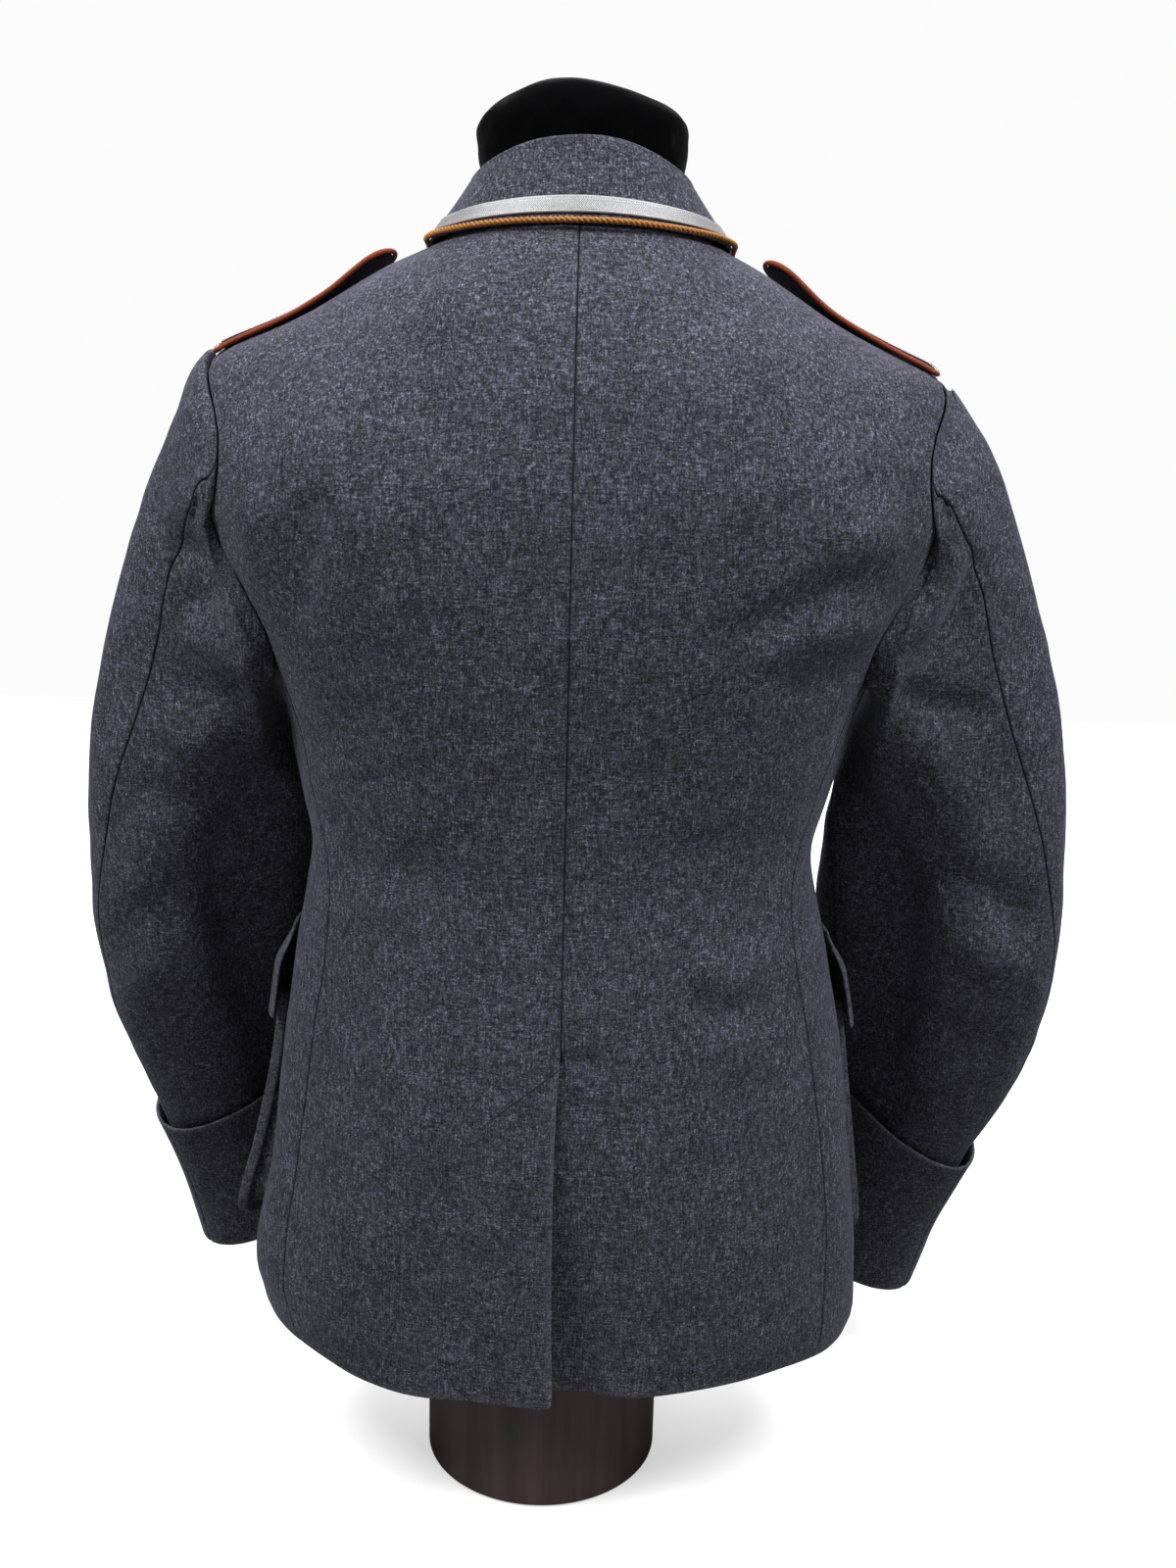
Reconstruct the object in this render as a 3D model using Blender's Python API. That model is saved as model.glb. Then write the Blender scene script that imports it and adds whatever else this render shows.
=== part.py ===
"""Military dress tunic standing on a limbless dress form.

Metres, +Z up. The front faces -Y, the back faces +Y and the wearer's left is +X.
The origin is the centre of the base's flat underside.

The trunk is one smooth surface, read by an angle round the wearer (0 at the centre back, 180 at the
centre front) and a level (0 at the hem, 1 at the chest, 2 at the neckline). Every panel is a stretch
of it with a wall's thickness, and what lies on a panel is the same stretch moved out.
"""
import bpy
import numpy as np

# Driving sizes
clothThickness = 0.0022
seamGap = 0.0003
garmentShift = (-0.009, -0.006, 0.0)  # the garment stands a little off the middle of the base
hemHeight = 0.090
chestHeight = 0.620
shoulderSlope = 0.490      # fall of the shoulder line for each metre outwards, on the wearer's left
rightShoulderMore = 0.046  # how much steeper the right shoulder is
frontLap = 0.020           # how far each front passes the centre line
ventHeight = 0.312
ventLap = 0.034
ventOpen = 0.003           # how far the vent's upper edge stands out at the hem
ventSunk = 0.005           # how far its under lap lies in at the hem
baseRadius = 0.0762
neckHalfWidth = 0.0608
neckHalfDepth = 0.0530
neckCrown = 0.012          # the highest point of the neck is this far to the wearer's left
armholeFade = 0.26         # share of the sleeve over which it keeps something of the armhole's shape
boardLength = 0.122
boardStart = 0.1035
boardSlope = 0.545
rightBoardMore = 0.055
boardWidth = 0.044
boardThickness = 0.0032
pipingRadius = 0.0015
cordRadius = 0.0015
braidThickness = 0.0009
buttonRadius = 0.0105

# Sections of the trunk: half width, depth behind and before the side line, and roundness
trunkSections = {
    "height":    [0.090, 0.105, 0.130, 0.200, 0.300, 0.350, 0.410, 0.460, 0.500, 0.540, 0.580, 0.620],
    "halfWidth": [0.192, 0.1975, 0.1995, 0.190, 0.1775, 0.169, 0.1582, 0.1645, 0.1725, 0.187, 0.206,
                  0.222],
    "leftMore":  [-0.001, -0.0005, 0.002, -0.0005, 0.0005, 0.002, 0.0037, 0.002, -0.0005, 0.0, 0.0, 0.0],
    "back":      [0.110, 0.1105, 0.111, 0.112, 0.109, 0.106, 0.103, 0.106, 0.110, 0.114, 0.117, 0.118],
    "front":     [0.128, 0.128, 0.128, 0.126, 0.121, 0.117, 0.114, 0.118, 0.123, 0.127, 0.129, 0.128],
    "power":     [1.85, 1.86, 1.88, 1.92, 1.95, 1.98, 2.05, 2.15, 2.22, 2.30, 2.36, 2.40],
}

# The line of the collar seam: half width, and depth and height at the back and the front
neckline = {"halfWidth": 0.072, "back": 0.060, "front": 0.070, "backHeight": 0.790,
            "sideHeight": 0.779, "frontHeight": 0.716}

# Angle of the side-back seam at each level
sideSeam = {
    "level": [0.00, 0.10, 0.18, 0.26, 0.36, 0.43, 0.50, 0.57, 0.68, 0.83],
    "angle": [61.0, 62.0, 63.5, 63.0, 61.5, 60.0, 58.8, 60.5, 64.0, 67.0],
}

# Angle of the armhole at each level, up the back and up the front
armholeBack = {
    "level": [0.83, 0.88, 0.93, 0.965, 1.00, 1.10, 1.20, 1.30, 1.39, 1.44, 1.47, 1.50],
    "angle": [67.0, 63.0, 63.5, 66.0, 64.5, 61.5, 60.8, 62.0, 66.0, 71.5, 78.5, 90.0],
}
armholeFront = {
    "level": [0.83, 0.8325, 0.838, 0.85, 0.88, 0.93, 1.00, 1.10, 1.20, 1.30, 1.39, 1.44, 1.47, 1.50],
    "angle": [67.0, 82.0, 95.0, 106.0, 112.0, 116.0, 118.0, 117.5, 116.0, 113.0, 108.0, 102.0, 96.5, 90.0],
}

# Rings of a sleeve from the armhole to its end: the outer and the inner edge of the flattened tube,
# half its depth, and how far the right sleeve's ring lies out and down from the left one's
sleeveRings = {
    "outX":    [0.2155, 0.2280, 0.241, 0.2555, 0.272, 0.286, 0.299, 0.3055, 0.308, 0.3050, 0.296, 0.282,
                0.2705, 0.2620],
    "outY":    [0.000, 0.000, 0.000, -0.002, -0.004, -0.006, -0.007, -0.010, -0.017, -0.032, -0.051,
                -0.071, -0.093, -0.115],
    "outZ":    [0.708, 0.7085, 0.678, 0.640, 0.595, 0.550, 0.493, 0.430, 0.364, 0.306, 0.250, 0.198,
                0.140, 0.0725],
    "inX":     [0.181, 0.1835, 0.183, 0.178, 0.1735, 0.169, 0.166, 0.165, 0.166, 0.169, 0.172, 0.172,
                0.170, 0.166],
    "inY":     [0.000, 0.000, -0.005, -0.014, -0.026, -0.036, -0.048, -0.061, -0.076, -0.094, -0.111,
                -0.127, -0.143, -0.158],
    "inZ":     [0.532, 0.527, 0.516, 0.498, 0.476, 0.452, 0.428, 0.400, 0.366, 0.330, 0.290, 0.248,
                0.190, 0.1245],
    "depth":   [0.052, 0.055, 0.056, 0.055, 0.053, 0.051, 0.048, 0.045, 0.043, 0.042, 0.041, 0.040,
                0.039, 0.038],
    "rightX":  [0.000, -0.0035, 0.0025, 0.005, 0.006, 0.008, 0.010, 0.011, 0.013, 0.014, 0.013, 0.006,
                0.001, -0.004],
    "rightIn": [0.000, 0.000, 0.001, 0.001, 0.001, 0.002, 0.003, 0.004, 0.004, 0.004, 0.004, 0.002,
                0.000, -0.002],
    "ridge":   [0.00, -0.36, -0.62, -0.74, -0.64, -0.42, -0.13, 0.12, 0.22, 0.22, 0.18, 0.12, 0.06, 0.00],
    "rightZ":  [0.000, 0.0008, 0.000, -0.001, -0.002, -0.003, -0.005, -0.008, -0.010, -0.012, -0.014,
                -0.016, -0.020, -0.024],
}
sleeveSeams = {  # angle round the sleeve from its outer edge, backwards: the seams turn as it falls
    "place": [0.0, 0.065, 0.12, 0.17, 0.21, 0.26, 0.33, 0.40, 0.44, 0.49, 0.56, 0.61, 0.70, 1.0],
    "hind":  [78.0, 77.0, 72.0, 67.0, 61.0, 58.0, 56.0, 53.0, 49.0, 41.0, 28.0, 17.0, 10.0, 8.0],
    "fore":  [205.0, 205.0, 204.0, 203.0, 201.0, 197.0, 188.0, 175.0, 167.0, 157.0, 147.0, 143.0,
              140.0, 140.0],
}

# Colour, roughness and metallic value of each material
finishes = {
    "wool": ((0.055, 0.060, 0.092), 0.95, 0.0),
    "boardCloth": ((0.012, 0.013, 0.016), 0.95, 0.0),
    "silverBraid": ((0.62, 0.63, 0.66), 0.42, 0.6),
    "tanCord": ((0.36, 0.17, 0.05), 0.65, 0.0),
    "orangePiping": ((0.42, 0.12, 0.03), 0.80, 0.0),
    "buttonMetal": ((0.42, 0.42, 0.43), 0.38, 1.0),
    "velvet": ((0.004, 0.004, 0.005), 0.90, 0.0),
    "formShell": ((0.050, 0.034, 0.034), 0.45, 0.0),
}


def material(name):
    found = bpy.data.materials.get(name)
    if found:
        return found
    colour, roughness, metallic = finishes[name]
    made = bpy.data.materials.new(name)
    made.use_nodes = True
    shader = made.node_tree.nodes["Principled BSDF"]
    shader.inputs["Base Color"].default_value = (*colour, 1.0)
    shader.inputs["Roughness"].default_value = roughness
    shader.inputs["Metallic"].default_value = metallic
    made.diffuse_color = (*colour, 1.0)
    return made


# ---- curves through tables ----

def smooth(at, xs, ys):
    """A smooth curve through the rows of a table that never overshoots them."""
    at, xs, ys = np.asarray(at, float), np.asarray(xs, float), np.asarray(ys, float)
    step = np.diff(ys) / np.diff(xs)
    before, after = step[:-1], step[1:]
    same = before * after > 0
    slope = np.zeros(len(xs))
    slope[1:-1] = np.where(same, 2 * before * after / np.where(same, before + after, 1), 0)
    slope[0], slope[-1] = step[0], step[-1]
    k = np.clip(np.searchsorted(xs, at) - 1, 0, len(xs) - 2)
    width = xs[k + 1] - xs[k]
    u = np.clip((at - xs[k]) / width, 0, 1)
    start = (2 * u ** 3 - 3 * u ** 2 + 1) * ys[k] + (u ** 3 - 2 * u ** 2 + u) * width * slope[k]
    end = (3 * u ** 2 - 2 * u ** 3) * ys[k + 1] + (u ** 3 - u ** 2) * width * slope[k + 1]
    return start + end


def ease(x, low, high):
    """0 below low, 1 above high, and a soft step between them."""
    t = np.clip((np.asarray(x, float) - low) / (high - low), 0, 1)
    return t * t * (3 - 2 * t)


def rounded(angle, power):
    """Cosine and sine of a rounded square: power 2 is a circle, and more is squarer."""
    c, s = np.cos(angle), np.sin(angle)
    size = (np.abs(c) ** power + np.abs(s) ** power) ** (1 / power)
    return c / size, s / size


def unit(vectors):
    return vectors / np.maximum(np.linalg.norm(vectors, axis=-1, keepdims=True), 1e-12)


# ---- the trunk's surface ----

def necklineHeight(c):
    back = neckline["sideHeight"] + (neckline["backHeight"] - neckline["sideHeight"]) * c ** 2
    drop = neckline["sideHeight"] - neckline["frontHeight"]
    return np.where(c > 0, back, neckline["sideHeight"] - drop * np.abs(c) ** 1.4)


def hemLift(angle, side):
    """How far the hem rises or dips from level, each side in its own way."""
    left = 0.0008 - 0.0055 * np.exp(-((angle - 32) / 15) ** 2) + 0.0035 * ease(angle, 42, 62)
    right = 0.0038 - 0.0038 * ease(angle, 48, 70)
    return left * (1 + side) / 2 * (1 - ease(angle, 100, 150)) + right * (1 - side) / 2


def trunkBase(angle, level, side, inset):
    """Points of the trunk's surface on the +X side. inset pulls it in, for the form inside the cloth."""
    angle, level = np.broadcast_arrays(np.asarray(angle, float), np.asarray(level, float))
    turn = np.radians(angle)
    height = hemHeight + (chestHeight - hemHeight) * np.minimum(level, 1)
    rows = {k: smooth(height, trunkSections["height"], v) for k, v in trunkSections.items()}
    c, s = rounded(turn, rows["power"])
    x = (rows["halfWidth"] + side * rows["leftMore"] - inset) * s
    y = np.where(c > 0, rows["back"] - inset, rows["front"] - inset) * c
    z = height + hemLift(angle, side) * (1 - np.clip(level / 0.5, 0, 1)) ** 2

    over = np.radians(90 * np.clip(level - 1, 0, 1))
    lift = np.abs(np.sin(turn)) ** 14
    f, g = rounded(over, 2.2 + 8.8 * lift)
    cn, sn = rounded(turn, 2.1)
    xn = (neckline["halfWidth"] - inset) * sn
    yn = (np.where(cn > 0, neckline["back"], neckline["front"]) - inset) * cn
    zn = necklineHeight(cn) - inset * 0.8
    slope = shoulderSlope + np.where(cn > 0, 0.50, 0.35) * cn ** 2
    slope = slope + rightShoulderMore * (1 - side) / 2 * sn ** 2
    fall = slope * np.hypot(x - xn, y - yn)
    rise = zn - fall - z
    left = fall * (1 - 0.88 * f - 0.12 * f ** 2)
    dome = np.stack([xn + (x - xn) * f, yn + (y - yn) * f, z + rise * g + left], -1)
    return np.where((level > 1)[..., None], dome, np.stack([x, y, z], -1))


def trunkNormal(angle, level, side, inset):
    a, b = 0.4, 0.004
    level = np.clip(level, b, 2 - b)
    across = trunkBase(angle + a, level, side, inset) - trunkBase(angle - a, level, side, inset)
    up = trunkBase(angle, level + b, side, inset) - trunkBase(angle, level - b, side, inset)
    return unit(np.cross(up, across))


def trunk(angle, level, side, out=0.0, inset=0.0):
    """Points of the trunk moved out along its own normals. side is 1 on the wearer's left."""
    angle, level = np.broadcast_arrays(np.asarray(angle, float), np.asarray(level, float))
    points = trunkBase(angle, level, side, inset)
    points = points + trunkNormal(angle, level, side, inset) * np.asarray(out, float)[..., None]
    return points * [side, 1, 1]


# ---- solids from grids ----

def addSolid(name, verts, faces, finish):
    verts = np.asarray(verts, float)
    mesh = bpy.data.meshes.new(name)
    mesh.from_pydata([tuple(v) for v in verts], [], [tuple(f) for f in faces])
    mesh.materials.append(material(finish))
    mesh.update()
    made = bpy.data.objects.new(name, mesh)
    bpy.context.scene.collection.objects.link(made)
    return made


def shell(name, outer, inner, finish, keep=None, flip=False, like=None):
    """A closed wall between two grids of points. keep marks the grid's cells that are cloth.

    Each cell is cut along the diagonal that stands out more, judged on the grid named by like.
    """
    rows, cols = outer.shape[:2]
    keep = np.ones((rows - 1, cols - 1), bool) if keep is None else keep
    like = outer if like is None else like
    number = np.arange(rows * cols).reshape(rows, cols)
    shift = rows * cols
    out = (outer - inner)[:-1, :-1]
    bulge = like[:-1, :-1] + like[1:, 1:] - like[:-1, 1:] - like[1:, :-1]
    first = (bulge * out).sum(-1) >= 0
    faces = []
    for i in range(rows - 1):
        for j in range(cols - 1):
            if not keep[i, j]:
                continue
            a, b, c, d = number[i, j], number[i, j + 1], number[i + 1, j + 1], number[i + 1, j]
            cell = [(a, b, c), (a, c, d)] if first[i, j] else [(a, b, d), (b, c, d)]
            faces += cell + [tuple(v + shift for v in t[::-1]) for t in cell]
            sides = [((i - 1, j), (a, b)), ((i, j + 1), (b, c)), ((i + 1, j), (c, d)), ((i, j - 1), (d, a))]
            for (p, q), (m, n) in sides:
                if 0 <= p < rows - 1 and 0 <= q < cols - 1 and keep[p, q]:
                    continue
                faces += [(n, m, m + shift), (n, m + shift, n + shift)]
    if flip:
        faces = [f[::-1] for f in faces]
    points = np.concatenate([outer.reshape(-1, 3), inner.reshape(-1, 3)])
    used, renumbered = np.unique(np.array(faces), return_inverse=True)
    return addSolid(name, points[used], renumbered.reshape(-1, 3), finish)


def sweep(name, path, radius, finish, sides=6):
    """A closed round cord along an open path."""
    path = np.asarray(path, float)
    along = unit(np.gradient(path, axis=0))
    first = unit(np.cross(along, [0.03, 0.05, 1.0]))
    second = np.cross(along, first)
    turns = np.linspace(0, 2 * np.pi, sides, endpoint=False)
    rings = [path + radius * (np.cos(t) * first + np.sin(t) * second) for t in turns]
    verts = np.stack(rings, 1).reshape(-1, 3)
    faces = []
    for i in range(len(path) - 1):
        for j in range(sides):
            a, b = i * sides + j, i * sides + (j + 1) % sides
            faces.append((a, b, b + sides, a + sides))
    faces.append(tuple(range(sides))[::-1])
    faces.append(tuple(range((len(path) - 1) * sides, len(path) * sides)))
    return addSolid(name, verts, faces, finish)


def lathe(name, profile, centre, axis, finish, sides=16):
    """A turned solid: the profile's rows are radius and height along the axis, bottom to top."""
    axis = np.asarray(axis, float) / np.linalg.norm(axis)
    first = np.cross(axis, [0.0, 0.0, 1.0] if abs(axis[2]) < 0.9 else [0.0, 1.0, 0.0])
    first = first / np.linalg.norm(first)
    second = np.cross(axis, first)
    turns = np.linspace(0, 2 * np.pi, sides, endpoint=False)
    verts, faces = [], []
    for radius, height in profile:
        for t in turns:
            spoke = np.cos(t) * first + np.sin(t) * second
            verts.append(np.asarray(centre) + axis * height + spoke * radius)
    for i in range(len(profile) - 1):
        for j in range(sides):
            a, b = i * sides + j, i * sides + (j + 1) % sides
            faces.append((a, b, b + sides, a + sides))
    faces.append(tuple(range(sides))[::-1])
    faces.append(tuple(range((len(profile) - 1) * sides, len(profile) * sides)))
    return addSolid(name, verts, faces, finish)


def place(points):
    """From the garment's own middle line to its place over the base."""
    return points + np.array(garmentShift)


# ---- back and front panels ----

bodyLevels = [0.0, 0.06, 0.17, 0.28, 0.40, 0.50, 0.60, 0.72]
shoulderLevels = [1.62, 1.78, 1.90, 2.0]
backColumns = [0.0, 0.14, 0.32, 0.50, 0.68, 0.85, 1.0]
frontColumns = [0.0, 0.12, 0.26, 0.41, 0.56, 0.71, 0.86, 1.0]
ventColumns = [1.0, 0.6, 0.25]      # the vent's under lap, as shares of its width
lapColumns = [-0.4, 0.3, 1.0]  # past the centre line, as shares of the lap
neckTuck = 0.002                    # the panels end this much of a level under the collar
ventCurve = 1.3                     # how the vent opens towards the hem: 1 is evenly
ventFade = (2.0, 16.0)              # angles between which the opening dies away into the panel
seamTop = 0.83                      # level where the side-back seam meets the armhole
shoulderTop = 1.5                   # level where the armhole meets the shoulder seam


def outerEdge(level, armhole):
    """Angle of a panel's outer edge: the side-back seam, the armhole, and then the shoulder seam."""
    seam = smooth(level, sideSeam["level"], sideSeam["angle"])
    hole = smooth(level, armhole["level"], armhole["angle"])
    return np.where(level <= seamTop, seam, np.where(level <= shoulderTop, hole, 90.0))


def angleFor(width, level):
    """The angle that a width along the cloth takes, near the middle of the back or the front."""
    height = hemHeight + (chestHeight - hemHeight) * np.minimum(level, 1)
    half = smooth(height, trunkSections["height"], trunkSections["halfWidth"])
    back = smooth(height, trunkSections["height"], trunkSections["back"])
    at = np.clip(level - 1, 0, 1)
    across = half + (neckline["halfWidth"] - half) * at
    deep = back + (neckline["back"] - back) * at
    return np.degrees(width / np.maximum(across, deep))


def ventSpread(level):
    """How open the vent is: 0 above its top and 1 at the hem."""
    height = hemHeight + (chestHeight - hemHeight) * level
    return np.clip((ventHeight - height) / (ventHeight - hemHeight), 0, 1)


def makeBack(side, name):
    ventLevel = (ventHeight - hemHeight) / (chestHeight - hemHeight)
    levels = np.array(sorted(set(bodyLevels + [ventLevel] + armholeBack["level"] + shoulderLevels)))
    start = angleFor(seamGap / 2, levels)
    edge = outerEdge(levels, armholeBack) - start * 1.5
    angle = start[:, None] + (edge - start)[:, None] * np.array(backColumns)[None, :]
    keep = np.ones((len(levels) - 1, len(backColumns) - 1), bool)
    if side < 0:
        under = -angleFor(ventLap, levels)[:, None] * np.array(ventColumns)
        angle = np.concatenate([under, angle], 1)
        below = np.repeat((levels[:-1] < ventLevel - 1e-6)[:, None], len(ventColumns), 1)
        keep = np.concatenate([below, keep], 1)
    level = np.repeat(levels[:, None], angle.shape[1], 1)
    level[-1] -= neckTuck
    out = ventOffset(angle, level, side)
    outer = place(trunk(angle, level, side, out))
    inner = place(trunk(angle, level, side, out - clothThickness))
    shell(name, outer, inner, "wool", keep, flip=side > 0)


def ventOffset(angle, level, side):
    """The left back laps over the right one below the vent's top, and stands a little open."""
    spread = ventSpread(level) ** ventCurve
    near = 1 - ease(np.asarray(angle), *ventFade)
    if side > 0:
        return ventOpen * spread * near
    sunk = clothThickness + seamGap * 2 + ventSunk * spread
    below = ease(ventHeight - hemHeight - (chestHeight - hemHeight) * level, -0.012, 0.0)
    return -sunk * near * below


def frontGrid():
    levels = np.array(sorted(set(bodyLevels + armholeFront["level"] + shoulderLevels)))
    lapAngle = angleFor(frontLap, levels)
    start = outerEdge(levels, armholeFront) + angleFor(seamGap / 2, levels) * 1.5
    end = 180 - lapAngle
    main = start[:, None] + (end - start)[:, None] * np.array(frontColumns)[None, :]
    lap = 180 + lapAngle[:, None] * np.array(lapColumns)[None, :]
    angle = np.concatenate([main, lap], 1)
    level = np.repeat(levels[:, None], angle.shape[1], 1)
    level[-1] -= neckTuck
    return angle, level


def frontOffset(angle, level, side):
    """The left front laps over the right one, and both lie on one surface away from the lap."""
    if side < 0:
        return np.zeros_like(angle)
    laps = (np.asarray(angle) - 180) / angleFor(frontLap, level)
    return (clothThickness + seamGap * 1.6) * ease(laps, -2.6, -1.2)


def makeFront(side, name):
    angle, level = frontGrid()
    out = frontOffset(angle, level, side)
    outer = place(trunk(angle, level, side, out))
    inner = place(trunk(angle, level, side, out - clothThickness))
    shell(name, outer, inner, "wool", None, flip=side > 0)


# ---- skirt pockets: a bellows bag that stands off the front, and a flap over its mouth ----

pocketSize = {
    "low": 0.095, "high": 0.415,        # levels of the bag's lower edge and of its mouth
    "rear": 93.0, "rearRight": 97.0,    # angles of its rear edge on the left and the right
    "front": 147.0, "corner": 0.020,
    "recess": 0.0105,                   # how far the gusset lies in from the bag's edge
    "edge": 0.0044,                     # depth of the bag's stitched edge
}
pocketRise = {"left": (0.0185, 0.0090), "right": (0.0092, 0.0080)}  # of the bag, at its foot and its mouth
flapSize = {"low": 0.392, "high": 0.515, "rear": 84.0, "rearRight": 88.0, "front": 155.0}
flapRise = {"left": 0.0094, "right": 0.0086}
flapSeat = 0.0014
flapColumns = [0.0, 0.045, 0.10, 0.22, 0.42, 0.62, 0.80, 0.90, 0.955, 1.0]
flapRows = [0.0, 0.22, 0.48, 0.76, 1.0]
pocketMiddle = (0.28, 0.72)  # the bag's front is filled in towards this stretch of its mouth


def skirtPoint(side, s, w, out, low, high, rear, front):
    """A point off the skirt: s runs forwards from a rear angle and w upwards between two levels."""
    angle, level = rear + (front - rear) * s, low + (high - low) * w
    return trunk(angle, level, side, out)


def pocketOutline(count, across, tall):
    """Rear edge downwards, lower edge forwards and front edge upwards, in metres, with round corners."""
    r = pocketSize["corner"]
    bend = np.linspace(0, np.pi / 2, 4)
    rear = [(0.0, z) for z in np.linspace(tall, r, count)[:-1]]
    turn = [(r - r * np.cos(t), r - r * np.sin(t)) for t in bend]
    along = [(x, 0.0) for x in np.linspace(r, across - r, count)[1:-1]]
    turned = [(across - r + r * np.sin(t), r - r * np.cos(t)) for t in bend]
    front = [(across, z) for z in np.linspace(r, tall, count)[1:]]
    return np.array(rear + turn + along + turned + front)


def pocketWall(tag, outline, across, tall):
    """The bag in flat distances: for each point of the outline, a line from the front in to its middle."""
    foot, mouth = pocketRise[tag]
    share = np.linspace(0, 1, len(outline))
    goal = np.stack([across * (pocketMiddle[0] + (pocketMiddle[1] - pocketMiddle[0]) * share),
                     np.full(len(share), tall)], -1)
    inward = goal - outline
    reach = np.linalg.norm(inward, axis=1)
    inward = inward / reach[:, None]
    half, recess, edge = clothThickness / 2, pocketSize["recess"], pocketSize["edge"]
    walls = []
    for offset in (half, -half):
        under = -edge - half - offset
        steps = [(recess - offset, None), (recess - offset, under), (half - offset, under),
                 (half - offset, offset - half)]
        steps += [(half - offset + (reach - half) * u, offset - half) for u in (0.18, 0.5, 1.0)]
        columns = []
        for run, height in steps:
            at = outline + inward * np.reshape(run, (-1, 1))
            rise = foot + (mouth - foot) * ease(at[:, 1] / tall, 0.1, 0.85)
            out = np.full(len(at), seamGap * 1.4) if height is None else rise + height
            columns.append(np.concatenate([at, out[:, None]], 1))
        walls.append(np.stack(columns, 1))
    return walls


def makePocket(side, name):
    tag = "left" if side > 0 else "right"
    rear = pocketSize["rear" if side > 0 else "rearRight"]
    low, high, front = pocketSize["low"], pocketSize["high"], pocketSize["front"]
    tall = (high - low) * (chestHeight - hemHeight)
    corners = skirtPoint(side, np.linspace(0, 1, 20), np.full(20, 0.5), 0.01, low, high, rear, front)
    across = np.linalg.norm(np.diff(corners, axis=0), axis=1).sum()
    walls = pocketWall(tag, pocketOutline(4, across, tall), across, tall)
    outer, inner = (place(skirtPoint(side, w[..., 0] / across, w[..., 1] / tall, w[..., 2],
                                     low, high, rear, front)) for w in walls)
    shell(name, outer, inner, "wool", None, flip=side < 0)


def makeFlap(side, name):
    tag = "left" if side > 0 else "right"
    rear = flapSize["rear" if side > 0 else "rearRight"]
    s, w = np.meshgrid(flapColumns, flapRows)
    taper = ease(s, -0.16, 0.10) * ease(1 - s, -0.16, 0.10)
    rise = flapSeat + flapRise[tag] * taper * ease(1 - w, 0.0, 0.5)
    at = (flapSize["low"], flapSize["high"], rear, flapSize["front"])
    outer = place(skirtPoint(side, s, w, rise + clothThickness, *at))
    inner = place(skirtPoint(side, s, w, rise, *at))
    shell(name, outer, inner, "wool", None, flip=side > 0)


# ---- sleeves ----

def armholeRing():
    """Angles and levels round the armhole: from under the front, up over the shoulder, down the back."""
    frontPart = [(armholeFront["angle"][k], v) for k, v in enumerate(armholeFront["level"])]
    backPart = [(armholeBack["angle"][k], v) for k, v in enumerate(armholeBack["level"])]
    loop = frontPart[1:] + backPart[::-1]
    return np.array([p[0] for p in loop]), np.array([p[1] for p in loop])


def sleeveTable(place01, column):
    at = np.linspace(0, 1, len(sleeveRings["outX"]))
    return smooth(place01, at, sleeveRings[column])


def ringFrame(down, side):
    """Centre, half axis towards the outer edge, and the direction of the depth, for rings of a sleeve."""
    def ends(at):
        right = 0.0 if side > 0 else 1.0
        dx, dz = right * sleeveTable(at, "rightX"), right * sleeveTable(at, "rightZ")
        tuck = right * sleeveTable(at, "rightIn")
        outer = np.stack([sleeveTable(at, "outX") + dx, sleeveTable(at, "outY"),
                          sleeveTable(at, "outZ") + dz], -1)
        inner = np.stack([sleeveTable(at, "inX") + tuck, sleeveTable(at, "inY"),
                          sleeveTable(at, "inZ") + dz], -1)
        return outer, inner
    outer, inner = ends(down)
    later, earlier = ends(np.clip(down + 0.05, 0, 1)), ends(np.clip(down - 0.05, 0, 1))
    axis = (later[0] + later[1]) - (earlier[0] + earlier[1])
    axis = unit(axis * np.stack([np.ones_like(down), ease(down, 0.05, 0.45), np.ones_like(down)], -1))
    half = (outer - inner) / 2
    deep = unit(np.cross(half, axis))
    return (outer + inner) / 2, half, deep


def ringAngles(side):
    """The armhole's points as angles round the sleeve's first ring, and the points themselves."""
    angle, level = armholeRing()
    points = trunkBase(angle, level, side, 0.0)
    centre, half, deep = ringFrame(np.array([0.0]), side)
    local = points - centre[0]
    size = np.linalg.norm(half[0])
    forward = local @ (half[0] / size) / size
    sideways = local @ deep[0] / sleeveTable(0.0, "depth")
    turn = np.degrees(np.unwrap(np.arctan2(sideways, forward)))
    return turn, points


def section(turn, ridge):
    """Outline of the flattened tube: a circle whose back is drawn along to a ridge."""
    c, s = np.cos(np.radians(turn)), np.sin(np.radians(turn))
    k = np.where(s > 0, ridge, 0.0)
    a = np.where(np.arctan2(s, c) < np.arctan2(1.0, k), 1 - k, 1 + k)
    square = c ** 2 / a ** 2 + s ** 2
    r = (k * c / a ** 2 + np.sqrt(k ** 2 * c ** 2 / a ** 4 - square * (k ** 2 / a ** 2 - 1))) / square
    return r * c, r * s


def ringPoint(turn, down, side):
    centre, half, deep = ringFrame(np.asarray(down, float), side)
    c, s = section(turn, sleeveTable(down, "ridge"))
    return centre + c[..., None] * half + (s * sleeveTable(down, "depth"))[..., None] * deep


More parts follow.
